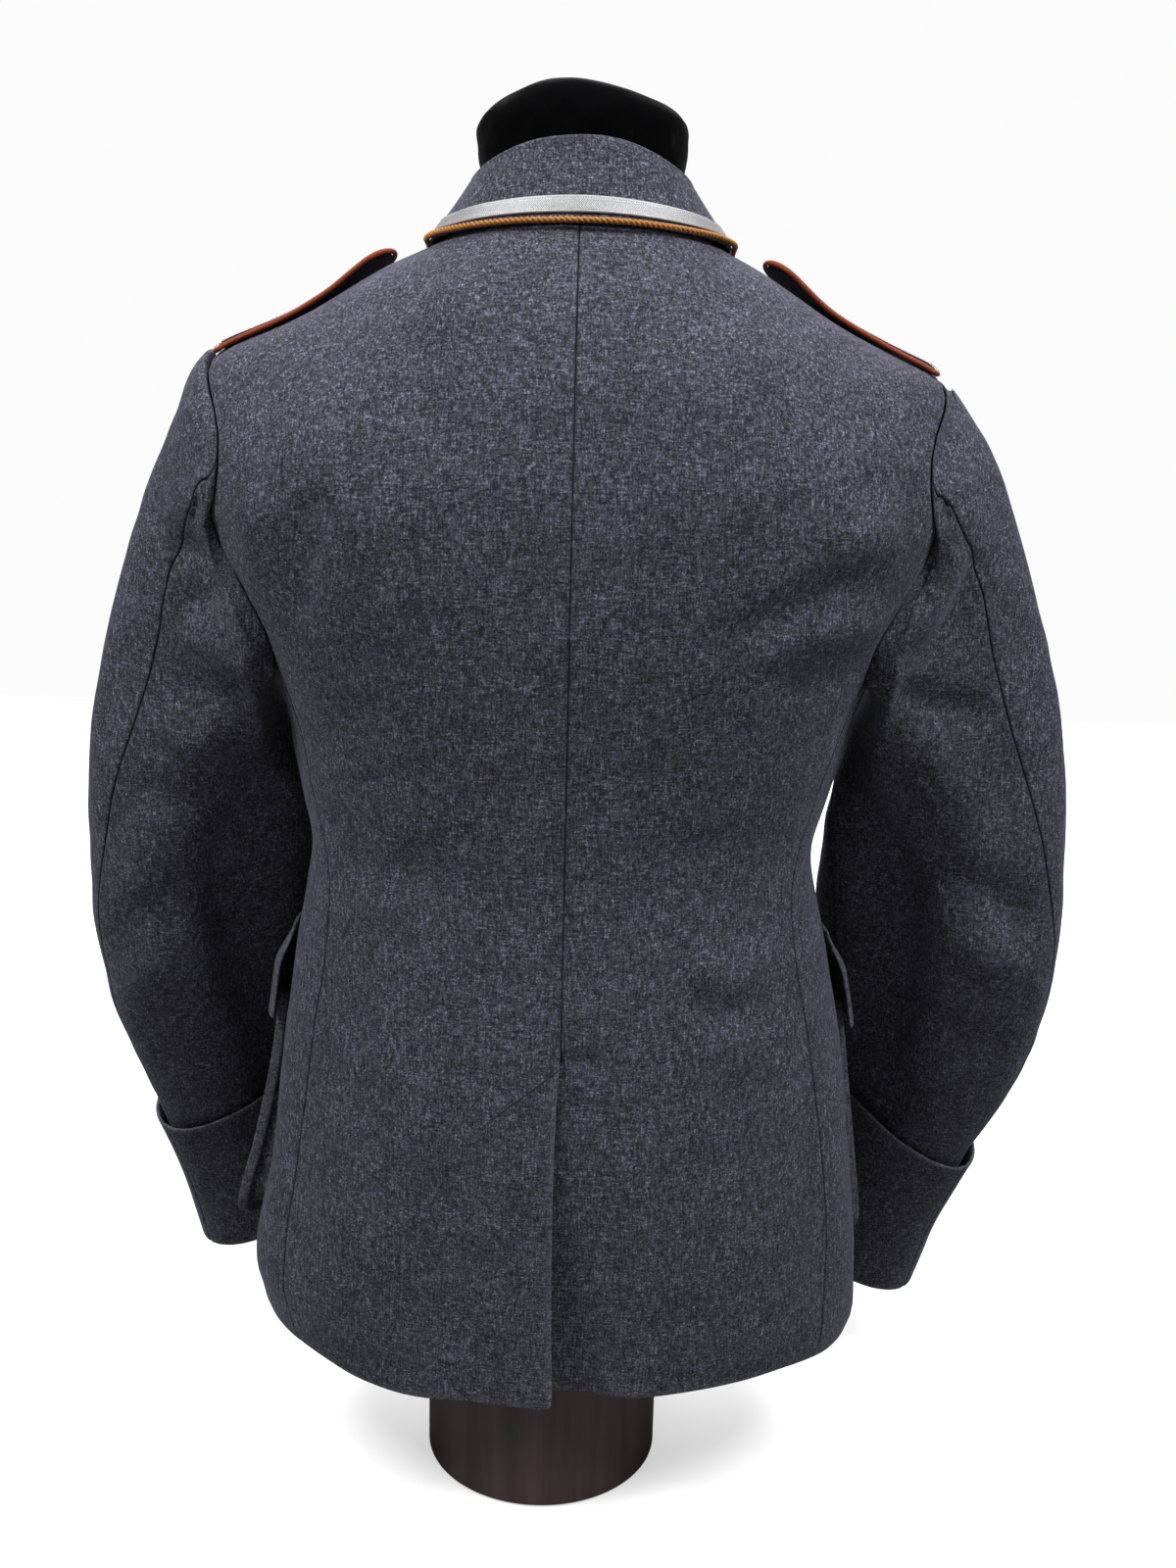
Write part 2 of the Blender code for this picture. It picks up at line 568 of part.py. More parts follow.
def sleeveBase(turn, start, down, side):
    """Points of a sleeve's surface. turn is the angle round it and start the angle at the armhole."""
    turn0, points0 = ringAngles(side)
    order = np.argsort(turn0)
    turn0, points0 = turn0[order], points0[order]
    wrapped = np.mod(start - turn0[0], 360) + turn0[0]
    cyclicTurn = np.append(turn0, turn0[0] + 360)
    cyclicPoints = np.concatenate([points0, points0[:1]])
    hole = np.stack([np.interp(wrapped, cyclicTurn, cyclicPoints[:, k]) for k in range(3)], -1)
    hole = hole + [seamGap, 0, 0]
    hole = hole - unit((hole - ringFrame(np.zeros(1), side)[0][0]) * [0, 1, 1]) * seamGap / 2
    first = ringPoint(start, np.zeros_like(down), side)
    fade = (1 - ease(down, 0.0, armholeFade))[..., None]
    return (ringPoint(turn, down, side) + (hole - first) * fade) * [side, 1, 1]


def seamTurns(down, part):
    """The angles of the two seams that bound the top or the under sleeve."""
    hind = smooth(down, sleeveSeams["place"], sleeveSeams["hind"])
    fore = smooth(down, sleeveSeams["place"], sleeveSeams["fore"])
    return (fore - 360, hind) if part == "top" else (hind, fore)


def sleevePoints(part, share, down, side, out=0.0):
    """Points of the top or the under sleeve: share runs from one of its seams to the other."""
    def at(u, v):
        low0, high0 = seamTurns(np.zeros_like(v), part)
        low, high = seamTurns(v, part)
        return sleeveBase(low + (high - low) * u, low0 + (high0 - low0) * u, v, side)
    e = 0.015
    across = at(share + e, down) - at(share - e, down)
    fall = at(share, np.clip(down + e, 0, 1)) - at(share, np.clip(down - e, 0, 1))
    normal = unit(np.cross(fall, across)) * side
    middle = ringFrame(np.zeros(1), side)[0][0] * [side, 1, 1]
    radial = unit((at(share, np.zeros_like(down)) - middle) * [0, 1, 1])
    mix = (1 - ease(down, 0.0, 0.06))[..., None]
    normal = unit(normal * (1 - mix) + radial * mix)
    return at(share, down) + normal * np.asarray(out, float)[..., None]


sleeveDown = [0.0, 0.035, 0.08, 0.15, 0.23, 0.32, 0.43, 0.54, 0.65, 0.77, 0.88, 0.985]


def makeSleeve(part, side, name):
    turn0 = ringAngles(side)[0]
    low, high = (float(v) for v in seamTurns(0.0, part))
    wrapped = np.unique(np.round(np.mod(turn0 - low, 360) + low, 4))
    inside = wrapped[(wrapped > low + 3) & (wrapped < high - 3)]
    share = (np.concatenate([[low], inside, [high]]) - low) / (high - low)
    down = np.repeat(np.array(sleeveDown)[:, None], len(share), 1)
    share = np.repeat(share[None, :], len(sleeveDown), 0)
    whole = sleevePoints(part, share, down, side)
    width = np.linalg.norm(np.diff(whole, axis=1), axis=-1).sum(1)[:, None]
    gap = seamGap / width
    share = gap + (1 - 2 * gap) * share
    outer = sleevePoints(part, share, down, side)
    inner = sleevePoints(part, share, down, side, -clothThickness + 0 * down)
    shell(name, place(outer), place(inner), "wool", None, flip=side > 0)


# ---- turned-back cuffs ----

cuffEnd = 0.992
cuffTop = 0.855
cuffFlare = 0.0032
cuffTilt = {"left": 0.034, "right": 0.066}  # how much higher the cuff reaches on the inner side


def makeCuff(side, name):
    turns = np.linspace(0, 360, 25)[:-1]
    turn, rise = np.meshgrid(turns, [0.0, 0.3, 0.65, 1.0])
    tilt = cuffTilt["left" if side > 0 else "right"] * (1 - np.cos(np.radians(turn))) / 2
    depth = cuffEnd - (cuffEnd - cuffTop + tilt) * rise
    base = sleeveBase(turn, turn, depth, side)
    e = 0.01
    across = sleeveBase(turn + 2, turn, depth, side) - sleeveBase(turn - 2, turn, depth, side)
    fall = sleeveBase(turn, turn, np.clip(depth + e, 0, 1), side) - sleeveBase(turn, turn, depth - e, side)
    normal = unit(np.cross(fall, across)) * side
    inner = base + normal * (seamGap * 4.4 + cuffFlare * rise ** 1.6)[..., None]
    outer = inner + normal * clothThickness
    ringShell(name, place(outer), place(inner), "wool", flip=side < 0)


def ringShell(name, outer, inner, finish, flip=False):
    """A wall that closes on itself round its rows."""
    rows, cols = outer.shape[:2]
    shift = rows * cols
    faces = []
    for i in range(rows - 1):
        for j in range(cols):
            a, b = i * cols + j, i * cols + (j + 1) % cols
            c, d = b + cols, a + cols
            faces += [(a, b, c), (a, c, d)]
            faces += [(c + shift, b + shift, a + shift), (d + shift, c + shift, a + shift)]
    for j in range(cols):
        a, b = j, (j + 1) % cols
        faces += [(b, a, a + shift), (b, a + shift, b + shift)]
        a, b = a + (rows - 1) * cols, b + (rows - 1) * cols
        faces += [(a, b, b + shift), (a, b + shift, a + shift)]
    if flip:
        faces = [f[::-1] for f in faces]
    points = np.concatenate([outer.reshape(-1, 3), inner.reshape(-1, 3)])
    addSolid(name, points, faces, finish)


# ---- collar ----

collarSize = {
    "foldHalfWidth": 0.0616, "foldBack": 0.0555, "foldFront": 0.066,
    "foldBackHeight": 0.8246, "foldSideHeight": 0.808, "foldFrontHeight": 0.762,
    "edgeHalfWidth": 0.0872, "edgeBack": 0.0715, "edgeFront": 0.092,
    "edgeBackHeight": 0.7803, "edgeSideHeight": 0.7749, "edgeFrontHeight": 0.701,
    "foldRadius": 0.0019, "hollow": 0.0004,
}


def collarRing(kind, angle):
    """A ring of the collar: its fold or the fall's edge, by the angle round the neck."""
    size = collarSize
    c, s = rounded(np.radians(angle), 2.05)
    x = size[kind + "HalfWidth"] * s
    y = np.where(c > 0, size[kind + "Back"], size[kind + "Front"]) * c
    back, sideways, front = (size[kind + k + "Height"] for k in ("Back", "Side", "Front"))
    towards = np.where(c > 0, (back - sideways) * c ** 2, (front - sideways) * np.abs(c) ** 1.45)
    z = sideways + towards
    return np.stack([x, y, z], -1)


def collarSurface(angle, q):
    """The collar's middle surface: q runs up the stand, over the fold and down the fall."""
    angle, q = np.broadcast_arrays(np.asarray(angle, float), np.asarray(q, float))
    turn = np.radians(angle)
    outward = np.stack([np.sin(turn), np.cos(turn), 0 * turn], -1)
    c, s = rounded(turn, 2.1)
    seam = np.stack([(neckline["halfWidth"] - 0.0016) * s,
                     (np.where(c > 0, neckline["back"], neckline["front"]) - 0.0016) * c,
                     necklineHeight(c) + 0.0018], -1)
    fold, edge = collarRing("fold", angle), collarRing("edge", angle)
    r = collarSize["foldRadius"]
    inside, outside = fold - outward * r, fold + outward * r
    t = np.clip(q / 0.36, 0, 1)[..., None]
    stand = seam + (inside - seam) * t
    stand = stand - outward * 0.0016 * np.sin(np.pi * t)
    around = np.clip((q - 0.36) / 0.14, 0, 1) * np.pi
    turnover = fold - outward * (r * np.cos(around))[..., None]
    turnover = turnover + [[0, 0, 1.0]] * (r * np.sin(around))[..., None]
    t = np.clip((q - 0.5) / 0.5, 0, 1)[..., None]
    fall = outside + (edge - outside) * t - outward * collarSize["hollow"] * np.sin(np.pi * t)
    q = q[..., None]
    return np.where(q < 0.36, stand, np.where(q < 0.5, turnover, fall))


def collarNormal(angle, q):
    a, b = 0.8, 0.01
    across = collarSurface(angle + a, q) - collarSurface(angle - a, q)
    along = collarSurface(angle, np.clip(q + b, 0, 1)) - collarSurface(angle, np.clip(q - b, 0, 1))
    return unit(np.cross(across, along))


def collarGrid(qs, count=27, limit=171.0):
    q = np.array(qs)
    end = limit - 15.0 * np.clip((q - 0.5) / 0.5, 0, 1)
    at = np.linspace(-1, 1, count)
    return at[:, None] * end[None, :], np.repeat(q[None, :], count, 0)


def makeCollar():
    angle, q = collarGrid([0.0, 0.18, 0.36, 0.407, 0.453, 0.5, 0.67, 0.845, 0.95, 1.0])
    middle, normal = collarSurface(angle, q), collarNormal(angle, q)
    half = clothThickness / 2
    shell("collar", place(middle + normal * half), place(middle - normal * half), "wool", None, flip=True)


def makeCollarTrim():
    """Braid along the fall's edge, and the cord that follows the edge itself."""
    angle, q = collarGrid([0.845, 0.95])
    middle, normal = collarSurface(angle, q), collarNormal(angle, q)
    low = clothThickness / 2 + seamGap
    top = place(middle + normal * (low + braidThickness))
    shell("collar_braid", top, place(middle + normal * low), "silverBraid", None, flip=True)
    angle, q = collarGrid([1.0], 37)
    lift = clothThickness / 2 + seamGap + cordRadius
    path = collarSurface(angle, q)[:, 0] + collarNormal(angle, q)[:, 0] * lift
    sweep("collar_cord", place(path), cordRadius, "tanCord", 5)


# ---- shoulder boards ----

def boardFrame(side):
    """Where a board lies: its middle, and the directions along, across and out of it."""
    levels = np.linspace(1.45, 2.0, 80)
    ridge = trunkBase(np.full(80, 90.0), levels, side, 0.0)
    slope = boardSlope + (1 - side) / 2 * rightBoardMore
    along = unit(np.array([1.0, 0.0, -slope]))
    up = np.array([-along[2], 0.0, along[0]])
    bulge = max(ridge[ridge[:, 0] > boardStart] @ up)
    inner = np.array([boardStart, 0.0, 0.0])
    inner[2] = (bulge + seamGap * 1.5 - inner[0] * up[0]) / up[2]
    middle = inner + along * boardLength / 2
    mirror = np.array([side, 1.0, 1.0])
    return middle * mirror, along * mirror, np.array([0, 1.0, 0]), up * mirror


def boardOutline(grow=0.0, count=9):
    """Half-round neck end and square shoulder end, as distances along and across the board."""
    half, wide = boardLength / 2 + grow, boardWidth / 2 + grow
    corner = 0.004
    turns = np.linspace(np.pi / 2, 3 * np.pi / 2, count)
    round_ = [(-half + wide * 0.8 + wide * 0.8 * np.cos(t), wide * np.sin(t)) for t in turns]
    square = [(half - corner, -wide), (half, -wide + corner), (half, wide - corner), (half - corner, wide)]
    return round_ + square


boardMargin = 0.0065  # cloth left bare round the board's braid
boardButtonRadius = 0.0080
boardButtonProfile = [(0.0070, 0.0), (boardButtonRadius, 0.0005), (0.0068, 0.0012), (0.0030, 0.0017)]


def makeBoard(side, tag):
    middle, along, across, up = boardFrame(side)

    def at(p, height):
        return place(middle + along * p[0] + across * p[1] + up * height)

    def plate(name, outline, low, high, finish):
        n = len(outline)
        verts = [at(p, low) for p in outline] + [at(p, high) for p in outline]
        faces = [tuple(range(n))[::-1], tuple(range(n, 2 * n))]
        faces += [(k, (k + 1) % n, n + (k + 1) % n, n + k) for k in range(n)]
        faces = [f[::-1] for f in faces] if side < 0 else faces
        addSolid(name, verts, faces, finish)

    plate("shoulder_board_" + tag, boardOutline(-2 * pipingRadius), 0.0, boardThickness, "boardCloth")
    rim = boardOutline(-pipingRadius + seamGap, 9)
    path = [at(p, boardThickness - pipingRadius) for p in rim[-2:] + rim[:-2]]
    path = sum([[p, (p + q) / 2] for p, q in zip(path[:-1], path[1:])], []) + [path[-1]]
    sweep("board_piping_" + tag, path, pipingRadius, "orangePiping", 5)
    top = boardThickness + seamGap + braidThickness
    plate("board_braid_" + tag, boardOutline(-boardMargin), boardThickness + seamGap, top, "silverBraid")
    knob = at((boardMargin + boardButtonRadius - boardLength / 2, 0.0), top + seamGap)
    lathe("board_button_" + tag, boardButtonProfile, knob, up, "buttonMetal", 14)


# ---- front buttons ----

buttonHeights = [0.668, 0.572, 0.478, 0.384, 0.290]
buttonRise = 0.115  # height of the front from the chest line to where its level is 2
buttonProfile = [(0.0040, 0.0), (0.0098, 0.0016), (buttonRadius, 0.0030), (0.0078, 0.0056), (0.0025, 0.0068)]


def makeButtons():
    for number, height in enumerate(buttonHeights):
        level = (height - hemHeight) / (chestHeight - hemHeight)
        if height > chestHeight:
            level = 1 + (height - chestHeight) / buttonRise
        lift = clothThickness + seamGap * 3.6
        point = trunk(180.0, level, 1, lift)
        normal = trunkNormal(np.array(180.0), np.array(level), 1, 0.0)
        lathe("front_button_%d" % (number + 1), buttonProfile, place(point), normal, "buttonMetal", 16)


# ---- the dress form ----

formLevels = [0.18, 0.30, 0.42, 0.55, 0.68, 0.84, 1.0, 1.15, 1.3, 1.42, 1.5, 1.62, 1.78, 1.90, 2.0]
formInset = {"level": [0.0, 0.6, 1.0, 1.5, 1.8, 2.0],
             "inset": [0.014, 0.0085, 0.0090, 0.0075, 0.0040, 0.0036]}
formFoot = 0.185  # height of the torso's flat underside
neckFoot = 0.80   # size of the neck's foot beside the torso's top
neckBend = 0.828  # height above which the neck's top falls away
neckFalls = (0.26, 0.14)  # how fast it falls to the left and to the right of the crown
torsoDrop = 0.0012        # how far the torso's shoulders lie below the cloth's own line
neckRows = {"height": [0.7960, 0.8030, 0.8130, 0.8250, 0.8400, 0.8490, 0.8565, 0.8605],
            "width": [0.95, 0.955, 0.962, 0.995, 1.000, 0.975, 0.875, 0.680]}


def torsoRings():
    levels = np.array(formLevels)
    angles = np.arange(0, 360, 15.0)
    rings = []
    for level in levels:
        inset = float(np.interp(level, formInset["level"], formInset["inset"]))
        for a in angles:
            side = 1 if a <= 180 else -1
            rings.append(trunkBase(a if side > 0 else 360 - a, level, side, inset) * [side, 1, 1])
    rings = np.array(rings).reshape(len(levels), len(angles), 3)
    rings[:, :, 2] -= np.where(levels > 1, torsoDrop, 0.0)[:, None]
    rings[0, :, 2] = formFoot
    return rings


def makeForm():
    rings = torsoRings()
    count, n = rings.shape[:2]
    faces = []
    for i in range(count - 1):
        for j in range(n):
            a, b = i * n + j, i * n + (j + 1) % n
            faces += [(a, a + n, b + n), (a, b + n, b)]
    verts = place(np.concatenate([rings.reshape(-1, 3), rings[:1].mean(1), rings[-1:].mean(1)]))
    low, high, last = count * n, count * n + 1, (count - 1) * n
    for j in range(n):
        faces.append((low, j, (j + 1) % n))
        faces.append((high, last + (j + 1) % n, last + j))
    addSolid("form_torso", verts, faces, "formShell")


def makeNeck():
    """The neck is drawn in where the collar holds it, and its top falls away to both sides of a crown."""
    top = torsoRings()[-1]
    foot = top.mean(0) + (top - top.mean(0)) * neckFoot + [0, 0, seamGap]
    n = len(foot)
    turns = np.linspace(0, 2 * np.pi, n, endpoint=False)
    rings = [foot]
    for z, w in zip(neckRows["height"], neckRows["width"]):
        x, y = neckHalfWidth * w * np.sin(turns), neckHalfDepth * w * np.cos(turns)
        raised = max(0.0, (z - neckBend) / (neckRows["height"][-1] - neckBend))
        away = neckFalls[0] * np.maximum(0, x - neckCrown) + neckFalls[1] * np.maximum(0, neckCrown - x)
        rings.append(np.stack([x, y - 0.001, z - raised * away], -1))
    count = len(rings)
    faces = []
    for i in range(count - 1):
        for j in range(n):
            a, b = i * n + j, i * n + (j + 1) % n
            faces += [(a, a + n, b + n), (a, b + n, b)]
    crown = [[neckCrown, 0.0, neckRows["height"][-1] + 0.0012]]
    verts = place(np.concatenate([np.concatenate(rings), foot.mean(0)[None, :], crown]))
    low, high, last = count * n, count * n + 1, (count - 1) * n
    for j in range(n):
        faces.append((low, j, (j + 1) % n))
        faces.append((high, last + (j + 1) % n, last + j))
    addSolid("form_neck", verts, faces, "velvet")


def makeBase():
    profile = [(baseRadius - 0.0018, 0.0), (baseRadius - 0.0005, 0.0005), (baseRadius, 0.0018),
               (baseRadius, formFoot - seamGap)]
    lathe("form_base", profile, (0, 0, 0), (0, 0, 1), "formShell", 48)


def main():
    for old in list(bpy.data.objects):
        bpy.data.objects.remove(old)
    for side, tag in ((1, "left"), (-1, "right")):
        makeBack(side, "back_" + tag)
        makeFront(side, "front_" + tag)
        makePocket(side, "pocket_" + tag)
        makeFlap(side, "pocket_flap_" + tag)
        makeSleeve("top", side, "sleeve_top_" + tag)
        makeSleeve("under", side, "sleeve_under_" + tag)
        makeCuff(side, "cuff_" + tag)
        makeBoard(side, tag)
    makeCollar()
    makeCollarTrim()
    makeButtons()
    makeForm()
    makeNeck()
    makeBase()


main()
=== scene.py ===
import math
import bpy
import numpy as np
from mathutils import Matrix, Vector


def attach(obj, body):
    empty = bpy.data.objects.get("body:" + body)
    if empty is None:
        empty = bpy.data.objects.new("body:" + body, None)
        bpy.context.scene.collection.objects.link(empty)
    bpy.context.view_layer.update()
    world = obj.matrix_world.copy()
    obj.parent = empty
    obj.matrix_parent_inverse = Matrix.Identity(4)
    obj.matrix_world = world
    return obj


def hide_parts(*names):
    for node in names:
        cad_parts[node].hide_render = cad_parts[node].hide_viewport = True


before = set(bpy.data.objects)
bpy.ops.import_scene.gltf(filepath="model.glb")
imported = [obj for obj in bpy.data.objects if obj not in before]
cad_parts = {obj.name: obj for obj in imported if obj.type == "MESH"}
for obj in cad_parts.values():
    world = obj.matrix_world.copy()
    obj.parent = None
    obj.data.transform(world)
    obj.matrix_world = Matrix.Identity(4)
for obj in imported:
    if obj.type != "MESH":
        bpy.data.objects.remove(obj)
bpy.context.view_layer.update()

bpy.ops.object.select_all(action="DESELECT")

# metres, front towards -Y; angles run from the centre back (0) to the centre front (180),
# levels from the hem (0) to the chest line (1) and the neckline (2)
garment = {
    "wall": 0.0022, "gap": 0.0003, "shift": (-0.009, -0.006, 0.0),
    "hem": 0.09, "chest": 0.62,
    "slope": 0.49, "rightSlope": 0.046,   # fall of the shoulder line, and how much more on the right
    "rearSlope": 0.5, "foreSlope": 0.35,  # how much more it falls behind and before
    "overPower": (2.2, 8.8, 14), "overFall": (0.88, 0.12),  # how squarely the cloth turns over the shoulder
    "neckPower": 2.1, "neckTuck": 0.002,
    "seamTop": 0.83, "shoulderTop": 1.5,   # where the side-back seam and the armhole end
    "creaseDepth": 1.25, "creaseWidth": 1.15,
    "lumps": [(0.00055, 0.085, 11), (0.00022, 0.03, 12)],  # height, size and seed
}
bodyTall = garment["chest"] - garment["hem"]
shoulder = {  # the cloth stands up at each shoulder point and sinks beside it; spreads in levels and degrees
    "lift": 0.0052, "rightMore": 0.001, "liftSpread": (0.055, 24),
    "hollow": 0.0049, "hollowAt": 1.675, "leftIn": 0.015, "hollowSpread": (0.098, 42),
}
hemWave = {"left": 0.0008, "dip": (0.0055, 32, 15), "rise": (0.0035, 42, 62), "right": 0.0038,
           "rightFade": (48, 70), "frontFade": (100, 150), "reach": 0.5}
trunkRows = {  # half width, depth behind and before the side line, and roundness
    "height": [0.09, 0.105, 0.13, 0.2, 0.3, 0.35, 0.41, 0.46, 0.5, 0.54, 0.58, 0.62],
    "half": [0.192, 0.1975, 0.1995, 0.19, 0.1775, 0.169, 0.1582, 0.1645, 0.1725, 0.187, 0.206, 0.222],
    "left": [-0.001, -0.0005, 0.002, -0.0005, 0.0005, 0.002, 0.0037, 0.002, -0.0005, 0.0, 0.0, 0.0],
    "back": [0.11, 0.1105, 0.111, 0.112, 0.109, 0.106, 0.103, 0.106, 0.11, 0.114, 0.117, 0.118],
    "front": [0.128, 0.128, 0.128, 0.126, 0.121, 0.117, 0.114, 0.118, 0.123, 0.127, 0.129, 0.128],
    "power": [1.85, 1.86, 1.88, 1.92, 1.95, 1.98, 2.05, 2.15, 2.22, 2.3, 2.36, 2.4],
}
neckline = {"half": 0.072, "back": 0.06, "front": 0.07, "backHeight": 0.79, "sideHeight": 0.779,
            "frontHeight": 0.716}
sideSeam = {"level": [0.0, 0.1, 0.18, 0.26, 0.36, 0.43, 0.5, 0.57, 0.68, 0.83],
            "angle": [61.0, 62.0, 63.5, 63.0, 61.5, 60.0, 58.8, 60.5, 64.0, 67.0]}
backHole = {"level": [0.83, 0.88, 0.93, 0.965, 1.0, 1.1, 1.2, 1.3, 1.39, 1.44, 1.47, 1.5],
            "angle": [67.0, 63.0, 63.5, 66.0, 64.5, 61.5, 60.8, 62.0, 66.0, 71.5, 78.5, 90.0]}
frontHole = {"level": [0.83, 0.8325, 0.838, 0.85, 0.88, 0.93, 1.0, 1.1, 1.2, 1.3, 1.39, 1.44, 1.47, 1.5],
             "angle": [67.0, 82.0, 95.0, 106.0, 112.0, 116.0, 118.0, 117.5, 116.0, 113.0, 108.0, 102.0,
                       96.5, 90.0]}


def smooth(at, xs, ys):  # a curve through a table's rows that never overshoots them
    at, xs, ys = np.asarray(at, float), np.asarray(xs, float), np.asarray(ys, float)
    step = np.diff(ys) / np.diff(xs)
    before, after = step[:-1], step[1:]
    same = before * after > 0
    slope = np.zeros(len(xs))
    slope[1:-1] = np.where(same, 2 * before * after / np.where(same, before + after, 1), 0)
    slope[0], slope[-1] = step[0], step[-1]
    k = np.clip(np.searchsorted(xs, at) - 1, 0, len(xs) - 2)
    width = xs[k + 1] - xs[k]
    u = np.clip((at - xs[k]) / width, 0, 1)
    start = (2 * u ** 3 - 3 * u ** 2 + 1) * ys[k] + (u ** 3 - 2 * u ** 2 + u) * width * slope[k]
    return start + (3 * u ** 2 - 2 * u ** 3) * ys[k + 1] + (u ** 3 - u ** 2) * width * slope[k + 1]


def ease(x, low, high):
    t = np.clip((np.asarray(x, float) - low) / (high - low), 0, 1)
    return t * t * (3 - 2 * t)


def rounded(angle, power):  # cosine and sine of a rounded square
    c, s = np.cos(angle), np.sin(angle)
    size = (np.abs(c) ** power + np.abs(s) ** power) ** (1 / power)
    return c / size, s / size


def unit(v):
    return v / np.maximum(np.linalg.norm(v, axis=-1, keepdims=True), 1e-12)


def place(points):
    return points + np.array(garment["shift"])


def heightAt(level):
    return garment["hem"] + bodyTall * np.minimum(level, 1)


def lengths(path):  # how far along a path each of its points is
    return np.concatenate([[0], np.cumsum(np.linalg.norm(np.diff(path, axis=0), axis=1))])


def pointsAt(at, run, path):
    return np.stack([np.interp(at, run, path[:, k]) for k in range(path.shape[1])], -1)


# paths, distances and creases

def resample(path, step):  # the same path with points an even step apart
    path = np.asarray(path, float)
    run = lengths(path)
    return pointsAt(np.linspace(0, run[-1], max(2, int(round(run[-1] / step)) + 1)), run, path)


def softened(path, count=24):  # a smooth curve through a few points
    path = np.asarray(path, float)
    t = np.arange(len(path))
    return np.stack([smooth(np.linspace(0, len(path) - 1, count), t, path[:, k])
                     for k in range(path.shape[1])], -1) if len(path) > 2 else path


def nearPath(points, path):  # distance of each point from a path, and how far along it is
    flat = points.reshape(-1, 3)
    best, along = np.full(len(flat), 1e9), np.zeros(len(flat))
    for k, (a, b) in enumerate(zip(path[:-1], path[1:])):
        d = b - a
        t = np.clip((flat - a) @ d / max(d @ d, 1e-14), 0, 1)
        far = np.linalg.norm(flat - a - t[:, None] * d, axis=1)
        closer = far < best
        best, along = np.where(closer, far, best), np.where(closer, (k + t) / (len(path) - 1), along)
    return best.reshape(points.shape[:-1]), along.reshape(points.shape[:-1])


def creaseHeight(points, creases):  # soft troughs (depth below 0) and ridges along paths
    flat = points.reshape(-1, 3)
    total = np.zeros(len(flat))
    for path, depth, width in creases:
        low, high = path.min(0) - 3.2 * width, path.max(0) + 3.2 * width
        near = np.all((flat > low) & (flat < high), axis=1)
        if near.any():
            far, along = nearPath(flat[near], path)
            fade = np.clip(np.sin(np.pi * np.clip(along, 0.0, 1.0)), 0, 1) ** 0.6
            total[near] += depth * np.exp(-(far / width) ** 2) * fade
    return total.reshape(points.shape[:-1])


def unevenness(points, size, seed, waves=14):  # slow waves of mixed direction, about 0.5 either way
    rng = np.random.default_rng(seed)
    total = 0
    for wave in range(waves):
        way = rng.normal(size=3)
        way = way / np.linalg.norm(way) * 2 * np.pi / (size * rng.uniform(0.7, 1.6))
        total = total + np.sin(points @ way + rng.uniform(0, 2 * np.pi))
    return total / waves ** 0.5 * 0.7


def relief(points, creases, lumps):
    return creaseHeight(points, creases) + sum(h * unevenness(points, size, seed) for h, size, seed in lumps)


def creasePaths(creases, surface, deeper, wider):  # creases: (angle, level) points, depth, width
    made = []
    for spots, depth, width in creases:
        curve = softened(spots)
        made.append((surface(curve[:, 0], curve[:, 1]), depth * deeper, width * wider))
    return made


# the trunk's surface

def necklineHeight(c):
    back = neckline["sideHeight"] + (neckline["backHeight"] - neckline["sideHeight"]) * c ** 2
    drop = neckline["sideHeight"] - neckline["frontHeight"]
    return np.where(c > 0, back, neckline["sideHeight"] - drop * np.abs(c) ** 1.4)


def hemLift(angle, side):
    (dip, middle, wide), (rise, low, high) = hemWave["dip"], hemWave["rise"]
    left = hemWave["left"] - dip * np.exp(-((angle - middle) / wide) ** 2) + rise * ease(angle, low, high)
    right = hemWave["right"] - hemWave["right"] * ease(angle, *hemWave["rightFade"])
    return left * (1 + side) / 2 * (1 - ease(angle, *hemWave["frontFade"])) + right * (1 - side) / 2


def trunkBase(angle, level, side, inset):
    angle, level = np.broadcast_arrays(np.asarray(angle, float), np.asarray(level, float))
    turn = np.radians(angle)
    height = heightAt(level)
    row = {k: smooth(height, trunkRows["height"], v) for k, v in trunkRows.items()}
    c, s = rounded(turn, row["power"])
    x = (row["half"] + side * row["left"] - inset) * s
    y = np.where(c > 0, row["back"] - inset, row["front"] - inset) * c
    z = height + hemLift(angle, side) * (1 - np.clip(level / hemWave["reach"], 0, 1)) ** 2
    over = np.radians(90 * np.clip(level - 1, 0, 1))
    flat, more, sharp = garment["overPower"]
    f, g = rounded(over, flat + more * np.abs(np.sin(turn)) ** sharp)
    cn, sn = rounded(turn, garment["neckPower"])
    xn = (neckline["half"] - inset) * sn
    yn = (np.where(cn > 0, neckline["back"], neckline["front"]) - inset) * cn
    zn = necklineHeight(cn) - inset * 0.8
    slope = garment["slope"] + np.where(cn > 0, garment["rearSlope"], garment["foreSlope"]) * cn ** 2
    slope = slope + garment["rightSlope"] * (1 - side) / 2 * sn ** 2
    fall = slope * np.hypot(x - xn, y - yn)
    straight, bowed = garment["overFall"]
    z1 = z + (zn - fall - z) * g + fall * (1 - straight * f - bowed * f ** 2)
    tall, wide = shoulder["liftSpread"]
    nearPoint = np.exp(-((level - garment["shoulderTop"]) / tall) ** 2 - ((angle - 90) / wide) ** 2)
    z1 = z1 + (shoulder["lift"] - shoulder["rightMore"] * side) * nearPoint * (inset < 0.001)
    tall, wide = shoulder["hollowSpread"]
    up = level - shoulder["hollowAt"] + shoulder["leftIn"] * side
    z1 = z1 - shoulder["hollow"] * np.exp(-((up / tall) ** 2 + ((angle - 90) / wide) ** 2))
    dome = np.stack([xn + (x - xn) * f, yn + (y - yn) * f, z1], -1)
    return np.where((level > 1)[..., None], dome, np.stack([x, y, z], -1))


